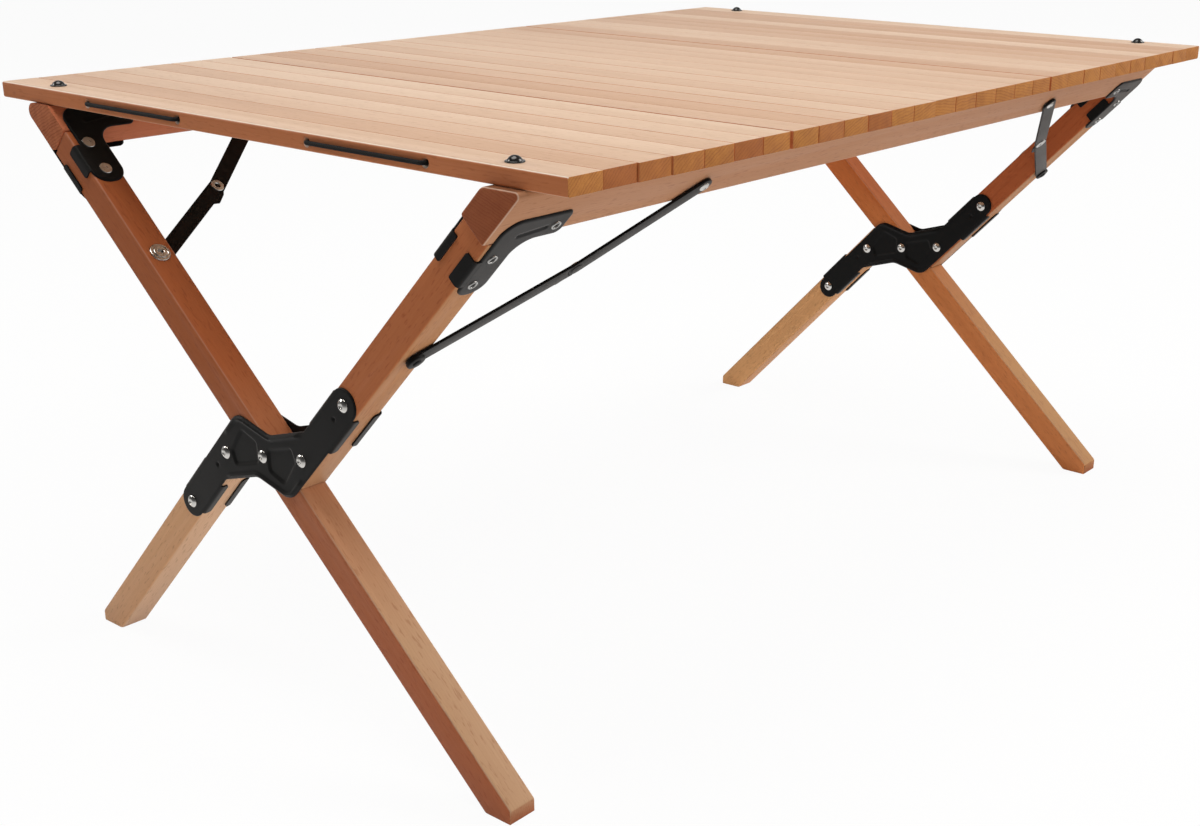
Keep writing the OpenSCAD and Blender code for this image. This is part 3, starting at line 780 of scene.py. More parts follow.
# Tones below the cross, paler as painted light from the floor
WHOLE_LEG_FLOOR_LIT = {
    "near": ((0.5, 0.3, 0.17), (0.41, 0.225, 0.118), (0.98, 0.52, 0.4)),
    "far": ((0.52, 0.27, 0.11), (0.43, 0.2, 0.077), (1.75, 1.3, 1.15)),
}
UPPER_HALF = {
    "near": ((0.55, 0.27, 0.125), (0.44, 0.195, 0.083), (0.95, 0.63, 0.5)),
    "far": ((0.55, 0.27, 0.125), (0.44, 0.195, 0.083), (0.97, 0.54, 0.4)),
}
# The upper halves' tones below the cross, paler as painted light from the floor
UPPER_HALF_FLOOR_LIT = ((0.64, 0.41, 0.25), (0.53, 0.31, 0.17), (0.95, 0.63, 0.5))
# The lower halves of the split legs are painted paler, as lit by the floor
LOWER_HALF = {
    "near": ((0.79, 0.51, 0.325), (0.67, 0.4, 0.235), (0.97, 0.85, 0.72)),
    "far": ((0.76, 0.4, 0.185), (0.66, 0.32, 0.14), (1.32, 1.42, 1.4)),
}
# The tint is the slats' painted shadow on a rail's flat top. The left rail's redder, darker tones stand partly for
# painted shade on its lower face
RAILS = {
    "left": ((0.6, 0.19, 0.09), (0.5, 0.15, 0.065), (0.45, 0.4, 0.36)),
    "right": ((0.54, 0.275, 0.15), (0.46, 0.215, 0.11), (0.45, 0.36, 0.3)),
}
# Strength of the painted highlight on the rails' edges about their ends
RAIL_EDGE_HIGHLIGHT = 0.28
TONE_PLAY = 0.12
RAIL_EASE = 1.7 * MM
LEG_EASE = 0.9 * MM
# The left rail's outer edges are blunter: radius as built and as seen, for the top edge and the lower one
LEFT_RAIL_ROUNDS = (mm(3, 6.5), mm(2, 5))
ON_ARC = 0.02 * MM


def blunt(p):
    """Moves a point of the left rail's outer edges from its arc to a wider one that meets the same faces."""
    up = Vector((math.cos(ANGLE_A), math.sin(ANGLE_A)))
    out = Vector((math.sin(ANGLE_A), -math.cos(ANGLE_A)))
    base = Vector((0, PIVOT_Z)) + out * LEG_SIDE
    top = base + up * (RAIL_TOP_Z - base.y) / up.y
    low = base + up * JOINT
    spot = Vector((p.y, p.z))
    sides = (-up, up), (Vector((-1, 0)), -out)
    for (built, seen), corner, along, inwards in zip(LEFT_RAIL_ROUNDS, (top, low), *sides):
        half = along.angle(inwards) / 2
        way = (along + inwards).normalized() / math.sin(half)
        rel = spot - corner - way * built
        if abs(rel.length - built) < ON_ARC:
            spot = corner + way * seen + rel * seen / built
            p.y, p.z = spot
            return


JOINT_SEAM = 1.2 * MM
CROSS_SEAM = 0.8 * MM
CROSS_REACH = 60 * MM


def stand_off(p):
    """Moves the top of a whole leg down from its rail, to leave a fine seam."""
    up = Vector((0, math.cos(ANGLE_A), math.sin(ANGLE_A)))
    if (p - Vector((0, 0, PIVOT_Z))).dot(up) > JOINT - MM:
        p -= up * JOINT_SEAM


def stand_off_cross(p):
    """Moves the end of a split leg's half away from the whole leg, to leave a fine seam."""
    up = Vector((0, -math.cos(ANGLE_B), math.sin(ANGLE_B)))
    reach = (p - Vector((0, 0, PIVOT_Z))).dot(up)
    if abs(reach) < CROSS_REACH:
        p += up * math.copysign(CROSS_SEAM, reach)


FRAME_SEED = 5
FRAME_GRAIN_SEED = 300


def dress_frame_wood():
    turns = {f"{side}_rail": ALONG_X for side in SIDES}
    for end in ENDS:
        turns[f"left_leg_{end}"] = (math.pi / 2 - ANGLE_A, 0, 0)
        for half in ("upper", "lower"):
            turns[f"right_{half}_leg_{end}"] = (ANGLE_B - math.pi / 2, 0, 0)
    pick = random.Random(FRAME_SEED)
    for seed, (node, turn) in enumerate(turns.items(), FRAME_GRAIN_SEED):
        play = pick.uniform(-TONE_PLAY, TONE_PLAY)
        side, *_, end = node.split("_")
        rail = end == "rail"
        low = None
        if rail:
            tones = RAILS[side]
            settle = blunt if side == "left" else None
        elif "lower" in node:
            tones = LOWER_HALF[end]
            settle = stand_off_cross
        elif "upper" in node:
            tones = UPPER_HALF[end]
            low = UPPER_HALF_FLOOR_LIT
            settle = stand_off_cross
        else:
            tones = WHOLE_LEG[end]
            low = WHOLE_LEG_FLOOR_LIT[end]
            settle = stand_off
        # The tint is painted shade, or on some far pieces painted light, on the near faces
        light, dark, shading_tint = tones
        tones = (between(light, dark, play), between(dark, light, -play), shading_tint)
        ends = (LEFT_RAIL_END if node == "left_rail" else FRAME_END, FRAME_END_DARK)
        # Painted edge highlight, stronger about the rails' ends
        edge_highlight = RAIL_EDGE_HIGHLIGHT if rail else FRAME_EDGE_HIGHLIGHT
        finish = beech(
            f"beech_{node}", turn, seed, tones, ends, FRAME_SHINE, edge_highlight, FRAME_FLECK, low, rail, not rail
        )
        ease = RAIL_EASE if rail else LEG_EASE
        eased_copy(node, finish, ease, settle, narrow=node == "left_rail")


dress_slats()
dress_frame_wood()

# Camera, floor and light

PHOTO_W = 1200
PHOTO_H = 826
FOCAL_PX = 1608.56
CENTRE_PX = (645.85, 473.1)
CAMERA_AT = (-1.11294, -0.91025, 0.62021)
CAMERA_AZIMUTH = math.radians(-50.254)
CAMERA_ELEVATION = math.radians(21.102)
CAMERA_ROLL = math.radians(0.365)
SENSOR = 36.0
VIEW_REACH = (0.05, 100)


def make_camera():
    data = bpy.data.cameras.new("camera")
    data.sensor_fit = "HORIZONTAL"
    data.sensor_width = SENSOR
    data.lens = FOCAL_PX / PHOTO_W * SENSOR
    data.shift_x = (PHOTO_W / 2 - CENTRE_PX[0]) / PHOTO_W
    data.shift_y = (CENTRE_PX[1] - PHOTO_H / 2) / PHOTO_W
    data.clip_start, data.clip_end = VIEW_REACH
    camera = place_object("camera", data)
    a = CAMERA_AZIMUTH
    e = CAMERA_ELEVATION
    back = Vector((math.sin(a) * math.cos(e), -math.cos(a) * math.cos(e), math.sin(e)))
    right = Vector((math.cos(a), math.sin(a), 0))
    up = back.cross(right)
    turned_right = right * math.cos(CAMERA_ROLL) + up * math.sin(CAMERA_ROLL)
    turned_up = up * math.cos(CAMERA_ROLL) - right * math.sin(CAMERA_ROLL)
    axes = Matrix((turned_right, turned_up, back)).transposed().to_4x4()
    camera.matrix_world = Matrix.Translation(CAMERA_AT) @ axes
    bpy.context.scene.camera = camera


def rays(tree):
    """Whether a ray is a reflection, and whether it comes straight from the camera."""
    path = add(tree, "ShaderNodeLightPath").outputs
    mirrored = calc(tree, "MAXIMUM", path["Is Glossy Ray"], path["Is Transmission Ray"])
    return mirrored, path["Is Camera Ray"]


FLOOR_HALF = 30
FLOOR_DROP = 0.2 * MM
FLOOR_GREYS = ((0.86,) * 3, (0.9,) * 3)
FLOOR_WAVES = (3, 3, 3)
FLOOR_SHARE = 0.95
FLOOR_REACH = 4.0
FLOOR_STOPS = ((0.15, 1.0), (0.42, 0.2))


def make_floor():
    """White where it is seen. In a reflection it is white about the table, and dim far away."""
    mesh = bpy.data.meshes.new("floor")
    bm = bmesh.new()
    bmesh.ops.create_grid(bm, x_segments=1, y_segments=1, size=FLOOR_HALF)
    bm.to_mesh(mesh)
    bm.free()
    made, tree, shader = material("pale_floor")
    place = coords(tree)["Object"]
    mottle = noise(tree, place, FLOOR_WAVES, detail=3.0)
    colour = mix(tree, mottle, *(rgba(grey) for grey in FLOOR_GREYS))
    give(tree, shader, {"Base Color": colour, "Roughness": 0.9, "Specular IOR Level": 0.1})
    mirrored, seen = rays(tree)
    away = add(tree, "ShaderNodeVectorMath", {0: place}, operation="LENGTH").outputs["Value"]
    near = ramp(tree, calc(tree, "DIVIDE", away, FLOOR_REACH), *FLOOR_STOPS)
    strength = calc(tree, "MAXIMUM", near, seen)
    white = add(tree, "ShaderNodeEmission", {"Color": rgba((1, 1, 1)), "Strength": strength}).outputs[0]
    share = times(tree, calc(tree, "MAXIMUM", mirrored, seen), FLOOR_SHARE)
    shown = add(tree, "ShaderNodeMixShader", {0: share, 1: shader.outputs[0], 2: white}).outputs[0]
    give(tree, tree.nodes["Material Output"], {"Surface": shown})
    mesh.materials.append(made)
    floor = place_object("floor", mesh)
    floor.location.z = -FLOOR_DROP


WORLD_LEVEL = 0.95
HEIGHT_STOPS = ((0.0, 1.0), (0.3, 0.62), (0.75, 0.08))
LIGHT_STOPS = ((0.1, 0.55), (0.75, 1.0))
MIRROR_STOPS = ((0.2, 0.12), (0.7, 1.0))


def make_world():
    """White where it is seen. As light it is brightest at the horizon, dim above and past the near end."""
    world = bpy.data.worlds.new("studio")
    bpy.context.scene.world = world
    world.use_nodes = True
    tree = world.node_tree
    parts = split(tree, coords(tree)["Generated"])
    height = ramp(tree, parts[2], *HEIGHT_STOPS)
    across = plus(tree, 0.5, parts[0], 0.5)
    light = times(tree, ramp(tree, across, *LIGHT_STOPS), WORLD_LEVEL)
    mirror = ramp(tree, across, *MIRROR_STOPS)
    mirrored, seen = rays(tree)
    level = times(tree, mix(tree, mirrored, light, mirror), height)
    strength = calc(tree, "MAXIMUM", level, seen)
    give(tree, tree.nodes["Background"], {"Color": rgba((1, 1, 1)), "Strength": strength})


LAMP_COLOUR = (1, 0.97, 0.93)


def make_lamp(name, at, aim, size, power):
    data = bpy.data.lights.new(name, "AREA")
    data.shape = "DISK"
    data.size = size
    data.energy = power
    data.color = LAMP_COLOUR
    lamp = place_object(name, data)
    lamp.location = at
    lamp.rotation_mode = "QUATERNION"
    lamp.rotation_quaternion = (Vector(aim) - Vector(at)).to_track_quat("-Z", "Y")
    return lamp


make_camera()
make_floor()
make_world()
make_lamp("key", at=(4.0, -3.8, 3.5), aim=(0, 0, 0.3), size=3.4, power=280)
make_lamp("top", at=(-0.5, 0.2, 2.9), aim=(-0.1, 0, 0.45), size=2.0, power=56)
# Shows only as a gleam on what is smooth
gleam = make_lamp("gleam", at=(-1.6, 1.9, 1.5), aim=(-0.45, 0, 0.25), size=0.9, power=22)
gleam.visible_diffuse = False
bpy.context.scene.view_settings.view_transform = "Standard"

# Stamped plates


def face_matrix(base, across, along, out, origin):
    """A flat face's frame within another: across and along it, and out of it."""
    axes = Matrix((across, along, out)).transposed().to_4x4()
    return base @ Matrix.Translation(origin) @ axes


def slab(bm, top, low):
    """A closed sheet between two grids of points."""
    rows = len(top)
    columns = len(top[0])
    upper = [[bm.verts.new(p) for p in row] for row in top]
    lower = [[bm.verts.new(p) for p in row] for row in low]
    for i in range(rows - 1):
        for j in range(columns - 1):
            bm.faces.new((upper[i][j], upper[i + 1][j], upper[i + 1][j + 1], upper[i][j + 1]))
            bm.faces.new((lower[i][j], lower[i][j + 1], lower[i + 1][j + 1], lower[i + 1][j]))
    ring = [(0, j) for j in range(columns)]
    ring += [(i, columns - 1) for i in range(1, rows)]
    ring += [(rows - 1, j) for j in range(columns - 2, -1, -1)]
    ring += [(i, 0) for i in range(rows - 2, 0, -1)]
    for (i, j), (k, m) in zip(ring, ring[1:] + ring[:1]):
        bm.faces.new((upper[i][j], upper[k][m], lower[k][m], lower[i][j]))


CUT_R = 0.3 * MM
BEND_R = 1.6 * MM
FLAP_T = PLATE_T - 0.1 * MM
FLAP_ROOT = 4 * MM
BEND_STEPS = 6
FLAP_COLUMNS = 8
FLAP_ROWS = (0.35, 0.7, 0.88, 1)


def flap(bm, matrix, edge, way, depth, low, high, corner, root=FLAP_ROOT):
    """A flap that a plate's edge turns down round the wood: edge is the wood's own, way is towards it."""
    middle = PLATE_T / 2
    radius = BEND_R + middle
    line = [Vector((edge - way * root, middle))]
    for i in range(BEND_STEPS + 1):
        at = math.pi / 2 * i / BEND_STEPS
        across = edge - way * BEND_R + way * radius * math.sin(at)
        line.append(Vector((across, radius * math.cos(at) - BEND_R)))
    for share in FLAP_ROWS:
        line.append(Vector((edge + way * middle, -BEND_R + (BEND_R - depth) * share)))
    top = []
    under = []
    for i, p in enumerate(line):
        along = (line[min(i + 1, len(line) - 1)] - line[max(i - 1, 0)]).normalized()
        out = Vector((-along.y, along.x)) * way
        past = max(0, corner - (p.y + depth))
        cut = corner - math.sqrt(max(0, corner**2 - past**2))
        spots = [low + cut + (high - low - 2 * cut) * j / FLAP_COLUMNS for j in range(FLAP_COLUMNS + 1)]
        for rows, level in ((top, FLAP_T / 2), (under, -FLAP_T / 2)):
            q = p + out * level
            rows.append([matrix @ Vector((q.x, u, q.y)) for u in spots])
    slab(bm, top, under)


CROSS_ARM_FROM = 56 * MM
CROSS_WAIST = 19 * MM
CROSS_CORNER_R = 8.5 * MM
CROSS_OUTER_R = 15 * MM
CROSS_WAIST_R = 14 * MM
CROSS_END = CROSS_RIVET_ROWS[1] + LEG_SIDE
CROSS_FALL = 0.9 * MM
CROSS_RIM = 1.2 * MM
CROSS_MESH = 1.2 * MM
LIP_FROM = 66 * MM
LIP_TO = 106 * MM
LIP_DEPTH = 6 * MM
LIP_CORNER = 2.5 * MM
# A little less than half the width, so that the two arcs of a round end don't meet in a point
ROUND_END = LEG_SIDE - 0.05 * MM


def turned(corners):
    return [(-a, -b, *rest) for a, b, *rest in corners]


def cross_outline(edge_in):
    """A cross plate's outline, its outer edges set in from the split leg's."""
    edge = HALF_OFFSET + LEG_SIDE - edge_in
    end_r = ROUND_END - edge_in / 2
    half = [
        (HALF_OFFSET - LEG_SIDE, CROSS_ARM_FROM, CROSS_CORNER_R),
        (HALF_OFFSET - LEG_SIDE, CROSS_END, end_r),
        (edge, CROSS_END, end_r),
        (edge, 0, CROSS_OUTER_R),
        (LEG_SIDE / 2, -CROSS_WAIST, CROSS_WAIST_R),
    ]
    return outline(half + turned(half))


CROSS_OUTLINE = cross_outline(0)
INNER_EDGE_IN = 1.6 * MM
POCKET_HALF = [
    mm(-27.9, -4.8, 4),
    mm(-11.4, 2.6, 4),
    mm(0.2, -8.9, 3),
    mm(-14.1, -33.5, 3),
    mm(-24.4, -28.8, 3),
]
POCKETS = [outline(POCKET_HALF), outline(turned(POCKET_HALF))]
POCKET_DEPTH = 1.15 * MM
POCKET_SLOPE = 2.2 * MM
POCKET_WIDER = 0.35
RIDGE_H = 1.3 * MM
RIDGE_AT = 2.6 * MM
RIDGE_HALF_W = 2.4 * MM
# Where the rolled ridge along the waist begins and ends, and how it fades there
RIDGE_FROM = -26.4 * MM
RIDGE_TO = 52 * MM
RIDGE_FADE = 8 * MM
RIDGE_SIDE = HALF_OFFSET - LEG_SIDE + 5 * MM
RIDGE_SIDE_FADE = 4 * MM
# The line through the plate's middle that parts the two waist edges
RIDGE_SLANT = 0.75
RIDGE_SLANT_FADE = 6 * MM
DIMPLES = (mm(27.6, 92), mm(-27, -53))
DIMPLE_R = 1.6 * MM
# A dimple's side slopes over as far as it is deep
DIMPLE_DEPTH = 0.9 * MM
DIMPLE_WIDER = 0.3


def cross_relief(places):
    """Pressed forms of a cross plate: a ridge along each waist edge, two pockets and two small dimples."""
    height = np.zeros(len(places))
    edge = distance_inside(places, CROSS_OUTLINE)
    ridge = soft_step(1 - np.abs(edge - RIDGE_AT) / RIDGE_HALF_W)
    for s in (1, -1):
        across, along = s * places[:, 0], s * places[:, 1]
        # Where the edge faces the waist on this side of the plate's middle
        side = soft_step((RIDGE_SIDE - across) / RIDGE_SIDE_FADE)
        reach = soft_step((along - RIDGE_FROM) / RIDGE_FADE) * soft_step((RIDGE_TO - along) / RIDGE_FADE)
        middle = soft_step((along - across * RIDGE_SLANT) / RIDGE_SLANT_FADE)
        height += RIDGE_H * ridge * side * reach * middle
    for pocket in POCKETS:
        height -= POCKET_DEPTH * soft_step(distance_inside(places, pocket) / POCKET_SLOPE + POCKET_WIDER)
    for spot in DIMPLES:
        gap = np.linalg.norm(places - np.array(spot), axis=1)
        height -= DIMPLE_DEPTH * soft_step((DIMPLE_R - gap) / DIMPLE_DEPTH + DIMPLE_WIDER)
    return height


def make_cross_plates():
    for end in ENDS:
        bm = bmesh.new()
        base = cross_matrix(end)
        for out, level in ((-1, 0), (1, LEG_T)):
            face = face_matrix(base, (0, 1, 0), (0, 0, 1), (out, 0, 0), (level, 0, 0))
            edge_line = CROSS_OUTLINE if out < 0 else cross_outline(INNER_EDGE_IN)
            plate(bm, edge_line, PLATE_T, CROSS_FALL, CROSS_RIM, face, CROSS_MESH, cross_relief)
            for s in (1, -1):
                spin = face @ Matrix.Rotation(0 if s > 0 else math.pi, 4, "Z")
                arm = spin @ Matrix.Translation((HALF_OFFSET, 0, 0))
                for way in (1, -1):
                    flap(bm, arm, way * LEG_SIDE, way, LIP_DEPTH, LIP_FROM, LIP_TO, LIP_CORNER)
        stand_in(f"cross_plates_{end}", "pressed", bm, POWDER_COAT)


ARM_L = 62 * MM
ARM_W = 23 * MM
ARM_LOW = JOINT - ARM_W / 12
ARM_END_R = 5.75 * MM
ELBOW_R = 14 * MM
PLATE_LOW = JOINT - 53 * MM
PAST_LEG = 2 * MM
CORNER_FALL = 1.3 * MM
CORNER_RIM = 2.2 * MM
CORNER_MESH = 1.3 * MM
# By right side or left, and by outer plate or inner
TAB_DEPTHS = {(1, 1): 8 * MM, (1, -1): 5.5 * MM, (0, 1): 5.5 * MM, (0, -1): 8 * MM}
# How far each plate's edge at the table's end lies in from the leg's face, above the tab and below it
SETBACKS = {(1, 1): mm(3, 3), (1, -1): mm(0, 3), (0, 1): mm(0, 0), (0, -1): mm(5, 0)}
INNER_TAB_DEPTH = 8 * MM
TAB_CORNER = 1.2 * MM
TAB_LOW = JOINT - 41 * MM
TAB_HIGH = JOINT - 16 * MM
TAB_MIDDLE = (TAB_LOW + TAB_HIGH) / 2


def corner_outline(above, below):
    low_r = ROUND_END - below / 2
    jog = [(above, TAB_MIDDLE, CUT_R), (below, TAB_MIDDLE, CUT_R)] if above != below else []
    corners = [
        (below, PLATE_LOW, low_r),
        (LEG_T + PAST_LEG, PLATE_LOW, low_r),
        (LEG_T + PAST_LEG, ARM_LOW, ELBOW_R),
        (ARM_L, ARM_LOW, ARM_END_R),
        (ARM_L, ARM_LOW + ARM_W, ARM_END_R),
        (above, ARM_LOW + ARM_W, ELBOW_R),
    ]
    return outline(corners + jog)


SLOT_FROM = Vector((21 * MM, JOINT + 5.5 * MM))
SLOT_TO = Vector((43 * MM, JOINT + 8.5 * MM))
SLOT_HALF_W = 2.2 * MM
SLOT_SLOPE = 1.4 * MM
SLOT_DEPTH = 0.8 * MM


def corner_relief(places):
    """The slot pressed into a corner plate's arm."""
    way = np.array(SLOT_TO - SLOT_FROM)
    rel = places - np.array(SLOT_FROM)
    share = np.clip(rel @ way / (way @ way), 0, 1)
    gap = np.linalg.norm(rel - share[:, None] * way, axis=1)
    return -SLOT_DEPTH * soft_step((SLOT_HALF_W - gap) / SLOT_SLOPE)


def make_corner_plates():
    for side in SIDES:
        for end in ENDS:
            bm = bmesh.new()
            base = leg_matrix(side, end)
            for out in (1, -1):
                face = face_matrix(base, (1, 0, 0), (0, 0, 1), (0, out, 0), (0, out * LEG_SIDE, 0))
                which = (side == "right", out)
                above, below = SETBACKS[which]
                edge_line = corner_outline(above, below)
                plate(bm, edge_line, PLATE_T, CORNER_FALL, CORNER_RIM, face, CORNER_MESH, corner_relief)
                root = FLAP_ROOT + max(above, below)
                flap(bm, face, 0, -1, TAB_DEPTHS[which], TAB_LOW, TAB_HIGH, TAB_CORNER, root)
                flap(bm, face, LEG_T, 1, INNER_TAB_DEPTH, TAB_LOW, TAB_HIGH, TAB_CORNER)
            stand_in(f"{side}_corner_plates_{end}", "pressed", bm, POWDER_COAT)


# Stay links

LINK_R = LINK_W / 2
LINK_END = LINK_R - 0.05 * MM
LINK_FALL = 0.35 * MM
LINK_MESH = 3 * MM
LAP_FALL = 0.02 * MM
LAP_R = LINK_R + 0.3 * MM
RECESS_STEPS = 6
# The stop beside a link's end: along the link from its end's middle, out past its side, and radius
NOSE = (mm(-20, 0, 3), mm(-15.5, 3.4, 1.5), mm(-5, 1.8, 4))
NOSE_R = 4 * MM
NOSE_TIP = 0.35


def recess(middle, way):
    """The corners of a bar's end that is hollowed round the other bar, from its right side to its left."""
    reach = math.asin(LINK_R / LAP_R)
    angles = [reach * (2 * i / RECESS_STEPS - 1) for i in range(RECESS_STEPS + 1)]
    return [(middle + way * LAP_R * math.cos(at), LAP_R * math.sin(at), CUT_R) for at in angles]


def link_outline(start, stop, first="round", last="round"):
    """A bar about two points. Each end is round or hollowed, and the last may have a stop beside it."""
    way = (stop - start).normalized()
    left = Vector((-way.y, way.x))
    length = (stop - start).length
    tip = length + LINK_R
    if first == "hollow":
        corners = recess(0, 1)[::-1]
    else:
        corners = [(-LINK_R, LINK_R, LINK_END), (-LINK_R, -LINK_R, LINK_END)]
    if last == "hollow":
        corners += recess(length, -1)
    elif last == "stop":
        corners += [(length + along, -LINK_R - out, r) for along, out, r in NOSE]
        corners += [(tip, -LINK_R * NOSE_TIP, NOSE_R), (tip, LINK_R, LINK_END)]
    else:
        corners += [(tip, -LINK_R, LINK_END), (tip, LINK_R, LINK_END)]
    return outline([(*(start + way * s + left * w), r) for s, w, r in corners])


def make_links():
    """Each bar is halved where the two lap at the knee, so their outer faces lie flush."""
    half = LINK_T / 2
    for side in SIDES:
        for end in ENDS:
            pin = stay_pin(side, end)
            layers = {
                "lower": (
                    link_outline(STAY_BOLT, STAY_KNEE, last="stop"),
                    link_outline(STAY_BOLT, STAY_KNEE, last="hollow"),
                ),
                "upper": (link_outline(STAY_KNEE, pin, first="hollow"), link_outline(STAY_KNEE, pin)),
            }
            base = leg_matrix(side, end)
            for name, edge_lines in layers.items():
                bm = bmesh.new()
                for edge_line, level, fall in zip(edge_lines, (0, half), (LAP_FALL, LINK_FALL)):
                    face = face_matrix(base, (1, 0, 0), (0, 0, 1), (0, 1, 0), (0, LINK_O + level, 0))
                    plate(bm, edge_line, half, fall, fall, face, LINK_MESH, inner=False)
                stand_in(f"{side}_{name}_link_{end}", "bar", bm, POWDER_COAT)


# Fasteners, each turned about its own axis. Profiles are radii and heights in millimetres


def scaled(profile):
    return [mm(*pair) for pair in profile]


RIVET_R = 5 * MM
RIVET_H = 2.4 * MM
RIVET_RIM = 0.6 * MM
# The dome stops short of its middle, where the rivet is hollow
PAN_HEAD = (
    [(0, 0), (RIVET_R, 0), (RIVET_R, 0.35 * MM)]
    + dome(RIVET_R * 0.97, RIVET_H - RIVET_RIM, RIVET_RIM, steps=8)[:-4]
    + scaled([(2.1, 2.0), (1.85, 1.75), (1.6, 1.3), (0.8, 1.15), (0, 1.1)])
)
PIN_HEAD = [(r * 0.8, h * 0.75) for r, h in PAN_HEAD]
EYELET = scaled(
    [
        (0, -0.9), (3.8, -0.9), (3.8, 0.25), (3.55, 0.7), (3.2, 0.9), (2.8, 0.9), (2.5, 0.7), (2.3, 0.2),
        (2.2, -0.6), (2.1, -3.4), (0, -3.5),
    ]
)
FLAT_DISC = scaled(
    [(0, -0.4), (5, -0.4), (5, 0.35), (4.7, 0.75), (4.2, 0.9), (1.6, 0.85), (1.3, 0.6), (0, 0.55)]
)
KNEE_HEAD = scaled(
    [
        (0, -0.3), (5.6, -0.3), (5.6, 0.4), (5.3, 0.8), (4.7, 0.95), (2.7, 0.9), (2.3, 0.5), (2, -0.1),
        (0, -0.1),
    ]
)
KNEE_CAP = scaled([(0, -0.3), (4.5, -0.3), (4.5, 0.1), (4.2, 0.3), (3.4, 0.42), (0, 0.5)])
NUT = scaled(
    [(0, -0.3), (7, -0.3), (7, 1), (6.6, 1.6), (5.8, 1.9), (3.4, 2), (3.2, 2.6), (2.6, 2.9), (0, 3)]
)
SPACER_R = 4 * MM
SPACER = [(0, 0), (SPACER_R, 0), (SPACER_R, LINK_O - LEG_SIDE), (0, LINK_O - LEG_SIDE)]
BOLT_HEAD = scaled(
    [
        (0, -0.3), (7.9, -0.3), (7.9, 0.7), (7.6, 1.15), (7.1, 1.35), (6.1, 1.4), (5.8, 1.2), (5.5, 1.25),
        (5.2, 1.6), (4.8, 1.9), (4.1, 2.0), (3.1, 2.0), (2.9, 1.85), (2.3, 1.7), (2.25, 0.2), (0, 0.1),
    ]
)
BOLT_SEGMENTS = 60
SOCKET_ROWS = (13, 14)
SOCKET_WIDER = 1.06


def hexagon(index, at):
    """The socket's rings are six-sided, and the others round."""
    if index not in SOCKET_ROWS:
        return 1
    turn = (at + math.pi / 6) % (math.pi / 3) - math.pi / 6
    return math.cos(math.pi / 6) / math.cos(turn) * SOCKET_WIDER


def axis_matrix(base, at, out, level):
    """The frame of a fastener at a place on a leg, standing outwards or inwards from a level."""
    return face_matrix(base, (1, 0, 0), (0, 0, 1), (0, out, 0), (at[0], level, at[1]))


def make_cross_rivets():
    bm = bmesh.new()
    for end in ENDS:
        base = cross_matrix(end)
        for out, level in ((-1, -PLATE_T), (1, LEG_T + PLATE_T)):
            for across, along in CROSS_RIVETS:
                at = (level, across, along)
                lathe(bm, PAN_HEAD, face_matrix(base, (0, 1, 0), (0, 0, 1), (out, 0, 0), at))
    stand_in("cross_rivets", "heads", bm, ZINC)


TURNED_SHARP = 35


def make_side_fasteners():
    for side in SIDES:
        corner = bmesh.new()
        eyelets = bmesh.new()
        stay = bmesh.new()
        caps = bmesh.new()
        for end in ENDS:
            base = leg_matrix(side, end)
            pin = stay_pin(side, end)
            face = LEG_SIDE + PLATE_T
            for at in CORNER_RIVETS:
                lathe(eyelets, EYELET, axis_matrix(base, at, 1, face))
                lathe(corner, FLAT_DISC, axis_matrix(base, at, -1, -face))
            # The far stays are the near ones turned over, so their knees' heads are on the other face
            outer_head, inner_head = (caps, KNEE_CAP), (stay, KNEE_HEAD)
            if end == "far":
                outer_head, inner_head = inner_head, outer_head
            lathe(*outer_head, axis_matrix(base, STAY_KNEE, 1, LINKS_END_O))
            lathe(*inner_head, axis_matrix(base, STAY_KNEE, -1, LINK_O))
            lathe(stay, PIN_HEAD, axis_matrix(base, pin, 1, LINKS_END_O))
            lathe(stay, SPACER, axis_matrix(base, pin, 1, LEG_SIDE))
            lathe(stay, BOLT_HEAD, axis_matrix(base, STAY_BOLT, -1, -LEG_SIDE), BOLT_SEGMENTS, hexagon)
            lathe(caps, NUT, axis_matrix(base, STAY_BOLT, 1, LINKS_END_O))
        body = BODY_OF[f"{side}_corner_rivets"]
        stand_in(f"{side}_corner_rivets", "heads", corner, ZINC, TURNED_SHARP)
        finish_mesh(f"{side}_eyelets", eyelets, DULL_ZINC, body, sharp=TURNED_SHARP)
        body = BODY_OF[f"{side}_stay_fasteners"]
        stand_in(f"{side}_stay_fasteners", "heads", stay, ZINC, TURNED_SHARP)
        finish_mesh(f"{side}_stay_nuts", caps, POWDER_COAT, body, sharp=TURNED_SHARP)


PEG_SHANK = scaled(
    [
        (0, -22), (2.6, -22), (3.2, -21.6), (3.5, -20.8), (3.5, -0.2), (6, 0), (6.25, 0.2), (6.25, 0.6),
        (6, 0.95), (5.3, 1.05),
    ]
)
PEG = PEG_SHANK + dome(4.9 * MM, 3.15 * MM, 1.05 * MM, steps=9)


def middle_x(slat):
    low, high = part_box(slat)
    return (low.x + high.x) / 2


def make_pegs():
    for end, slat in zip(ENDS, (FIRST_SLAT, LAST_SLAT)):
        bm = bmesh.new()
        for y in (PEG_Y, -PEG_Y):
            lathe(bm, PEG, Matrix.Translation((middle_x(slat), y, TABLE_H)))
        stand_in(f"pegs_{end}", "turned", bm, PEG_BLACK)


# Elastic cords: a loop at each end slat, and a length across each gap between slats

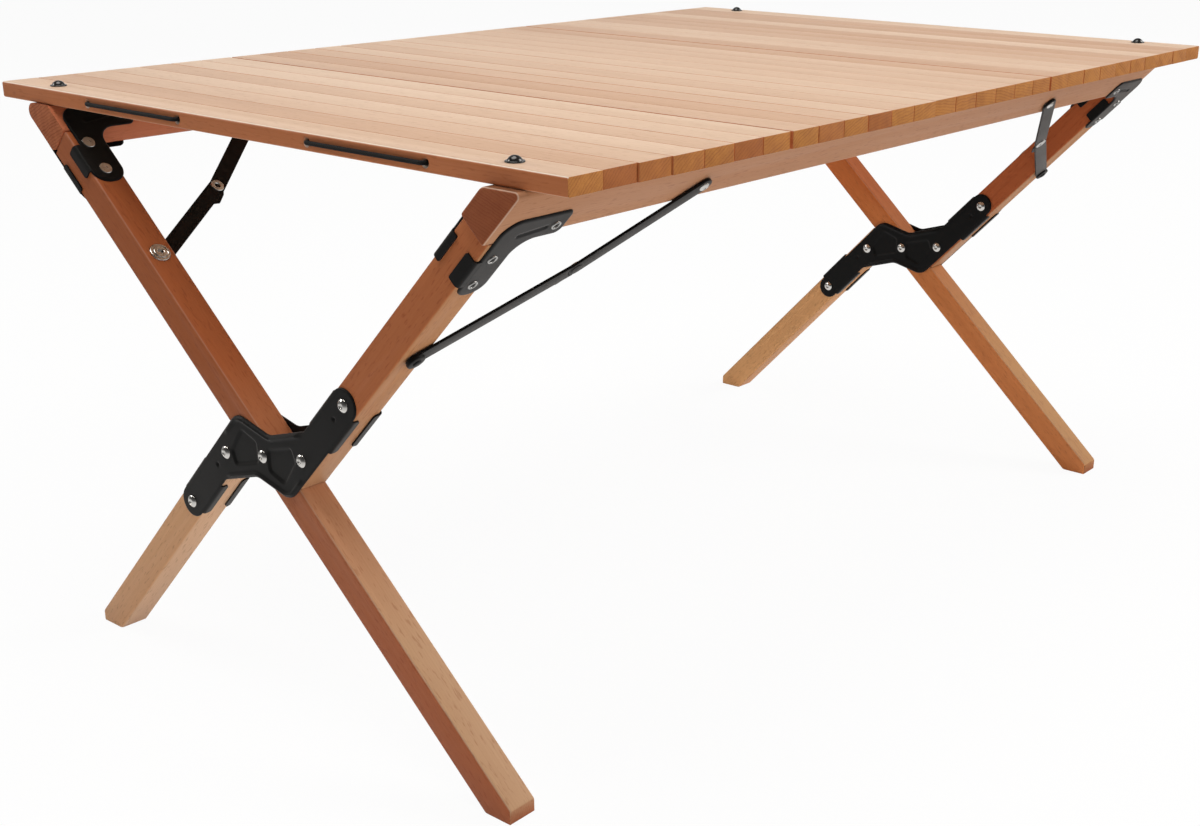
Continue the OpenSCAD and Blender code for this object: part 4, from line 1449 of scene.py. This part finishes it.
CORD_BEND = 3.5 * MM
CORD_SEEN_D = 3.1 * MM
CORD_CLEAR = 0.2 * MM
CORD_END_X = TOP_END + CORD_CLEAR + CORD_SEEN_D / 2
CORD_STEPS = 7
LOOP_SIDES = 16
SEAM_SIDES = 12
# Along a length of cord at a seam: where its rings lie, and how far from the seam it bends
SEAM_RINGS = mm(-6, -3, -2, -1, 0, 1, 2, 3, 6)


def end_path(x_way, y_way, x_in):
    """From inside an end slat, out of one hole, along the slat's face and into the other hole."""
    inner, outer = CORD_ROWS
    run = CORD_END_X - CORD_BEND
    flat = [(x_in, outer), ((x_in + run) / 2, outer)]
    for centre_y, first in ((outer - CORD_BEND, 90), (inner + CORD_BEND, 0)):
        for i in range(CORD_STEPS):
            at = math.radians(first - 90 * i / (CORD_STEPS - 1))
            flat.append((run + CORD_BEND * math.cos(at), centre_y + CORD_BEND * math.sin(at)))
        if first:
            flat += [(CORD_END_X, outer + (inner - outer) * share) for share in (0.25, 0.5, 0.75)]
    flat += [((x_in + run) / 2, inner), (x_in, inner)]
    return [Vector((x_way * x, y_way * y, CORD_Z)) for x, y in flat]


def make_cords():
    for x_way, slat in ((-1, FIRST_SLAT), (1, LAST_SLAT)):
        bm = bmesh.new()
        layer = bm.loops.layers.uv.new("around_along")
        for y_way in (1, -1):
            tube(bm, end_path(x_way, y_way, abs(middle_x(slat))), CORD_SEEN_D, LOOP_SIDES, layer)
        finish_mesh(f"cord_loops_{slat}", bm, BRAID, BODY_OF[slat])
    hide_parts("elastic_cord_left", "elastic_cord_right")
    for before, after in zip(SLAT_NAMES, SLAT_NAMES[1:]):
        bm = bmesh.new()
        layer = bm.loops.layers.uv.new("around_along")
        first = middle_x(before)
        last = middle_x(after)
        seam = (first + last) / 2
        spots = [first] + [seam + step for step in SEAM_RINGS] + [last]
        for y in CORD_ROWS:
            for y_way in (1, -1):
                path = [Vector((x, y_way * y, CORD_Z)) for x in spots]
                tube(bm, path, CORD_SEEN_D, SEAM_SIDES, layer, first)
        piece = finish_mesh(f"cord_{before}_{after[-2:]}", bm, BRAID, None)
        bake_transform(piece)


make_cross_plates()
make_corner_plates()
make_links()
make_cross_rivets()
make_side_fasteners()
make_pegs()
make_cords()
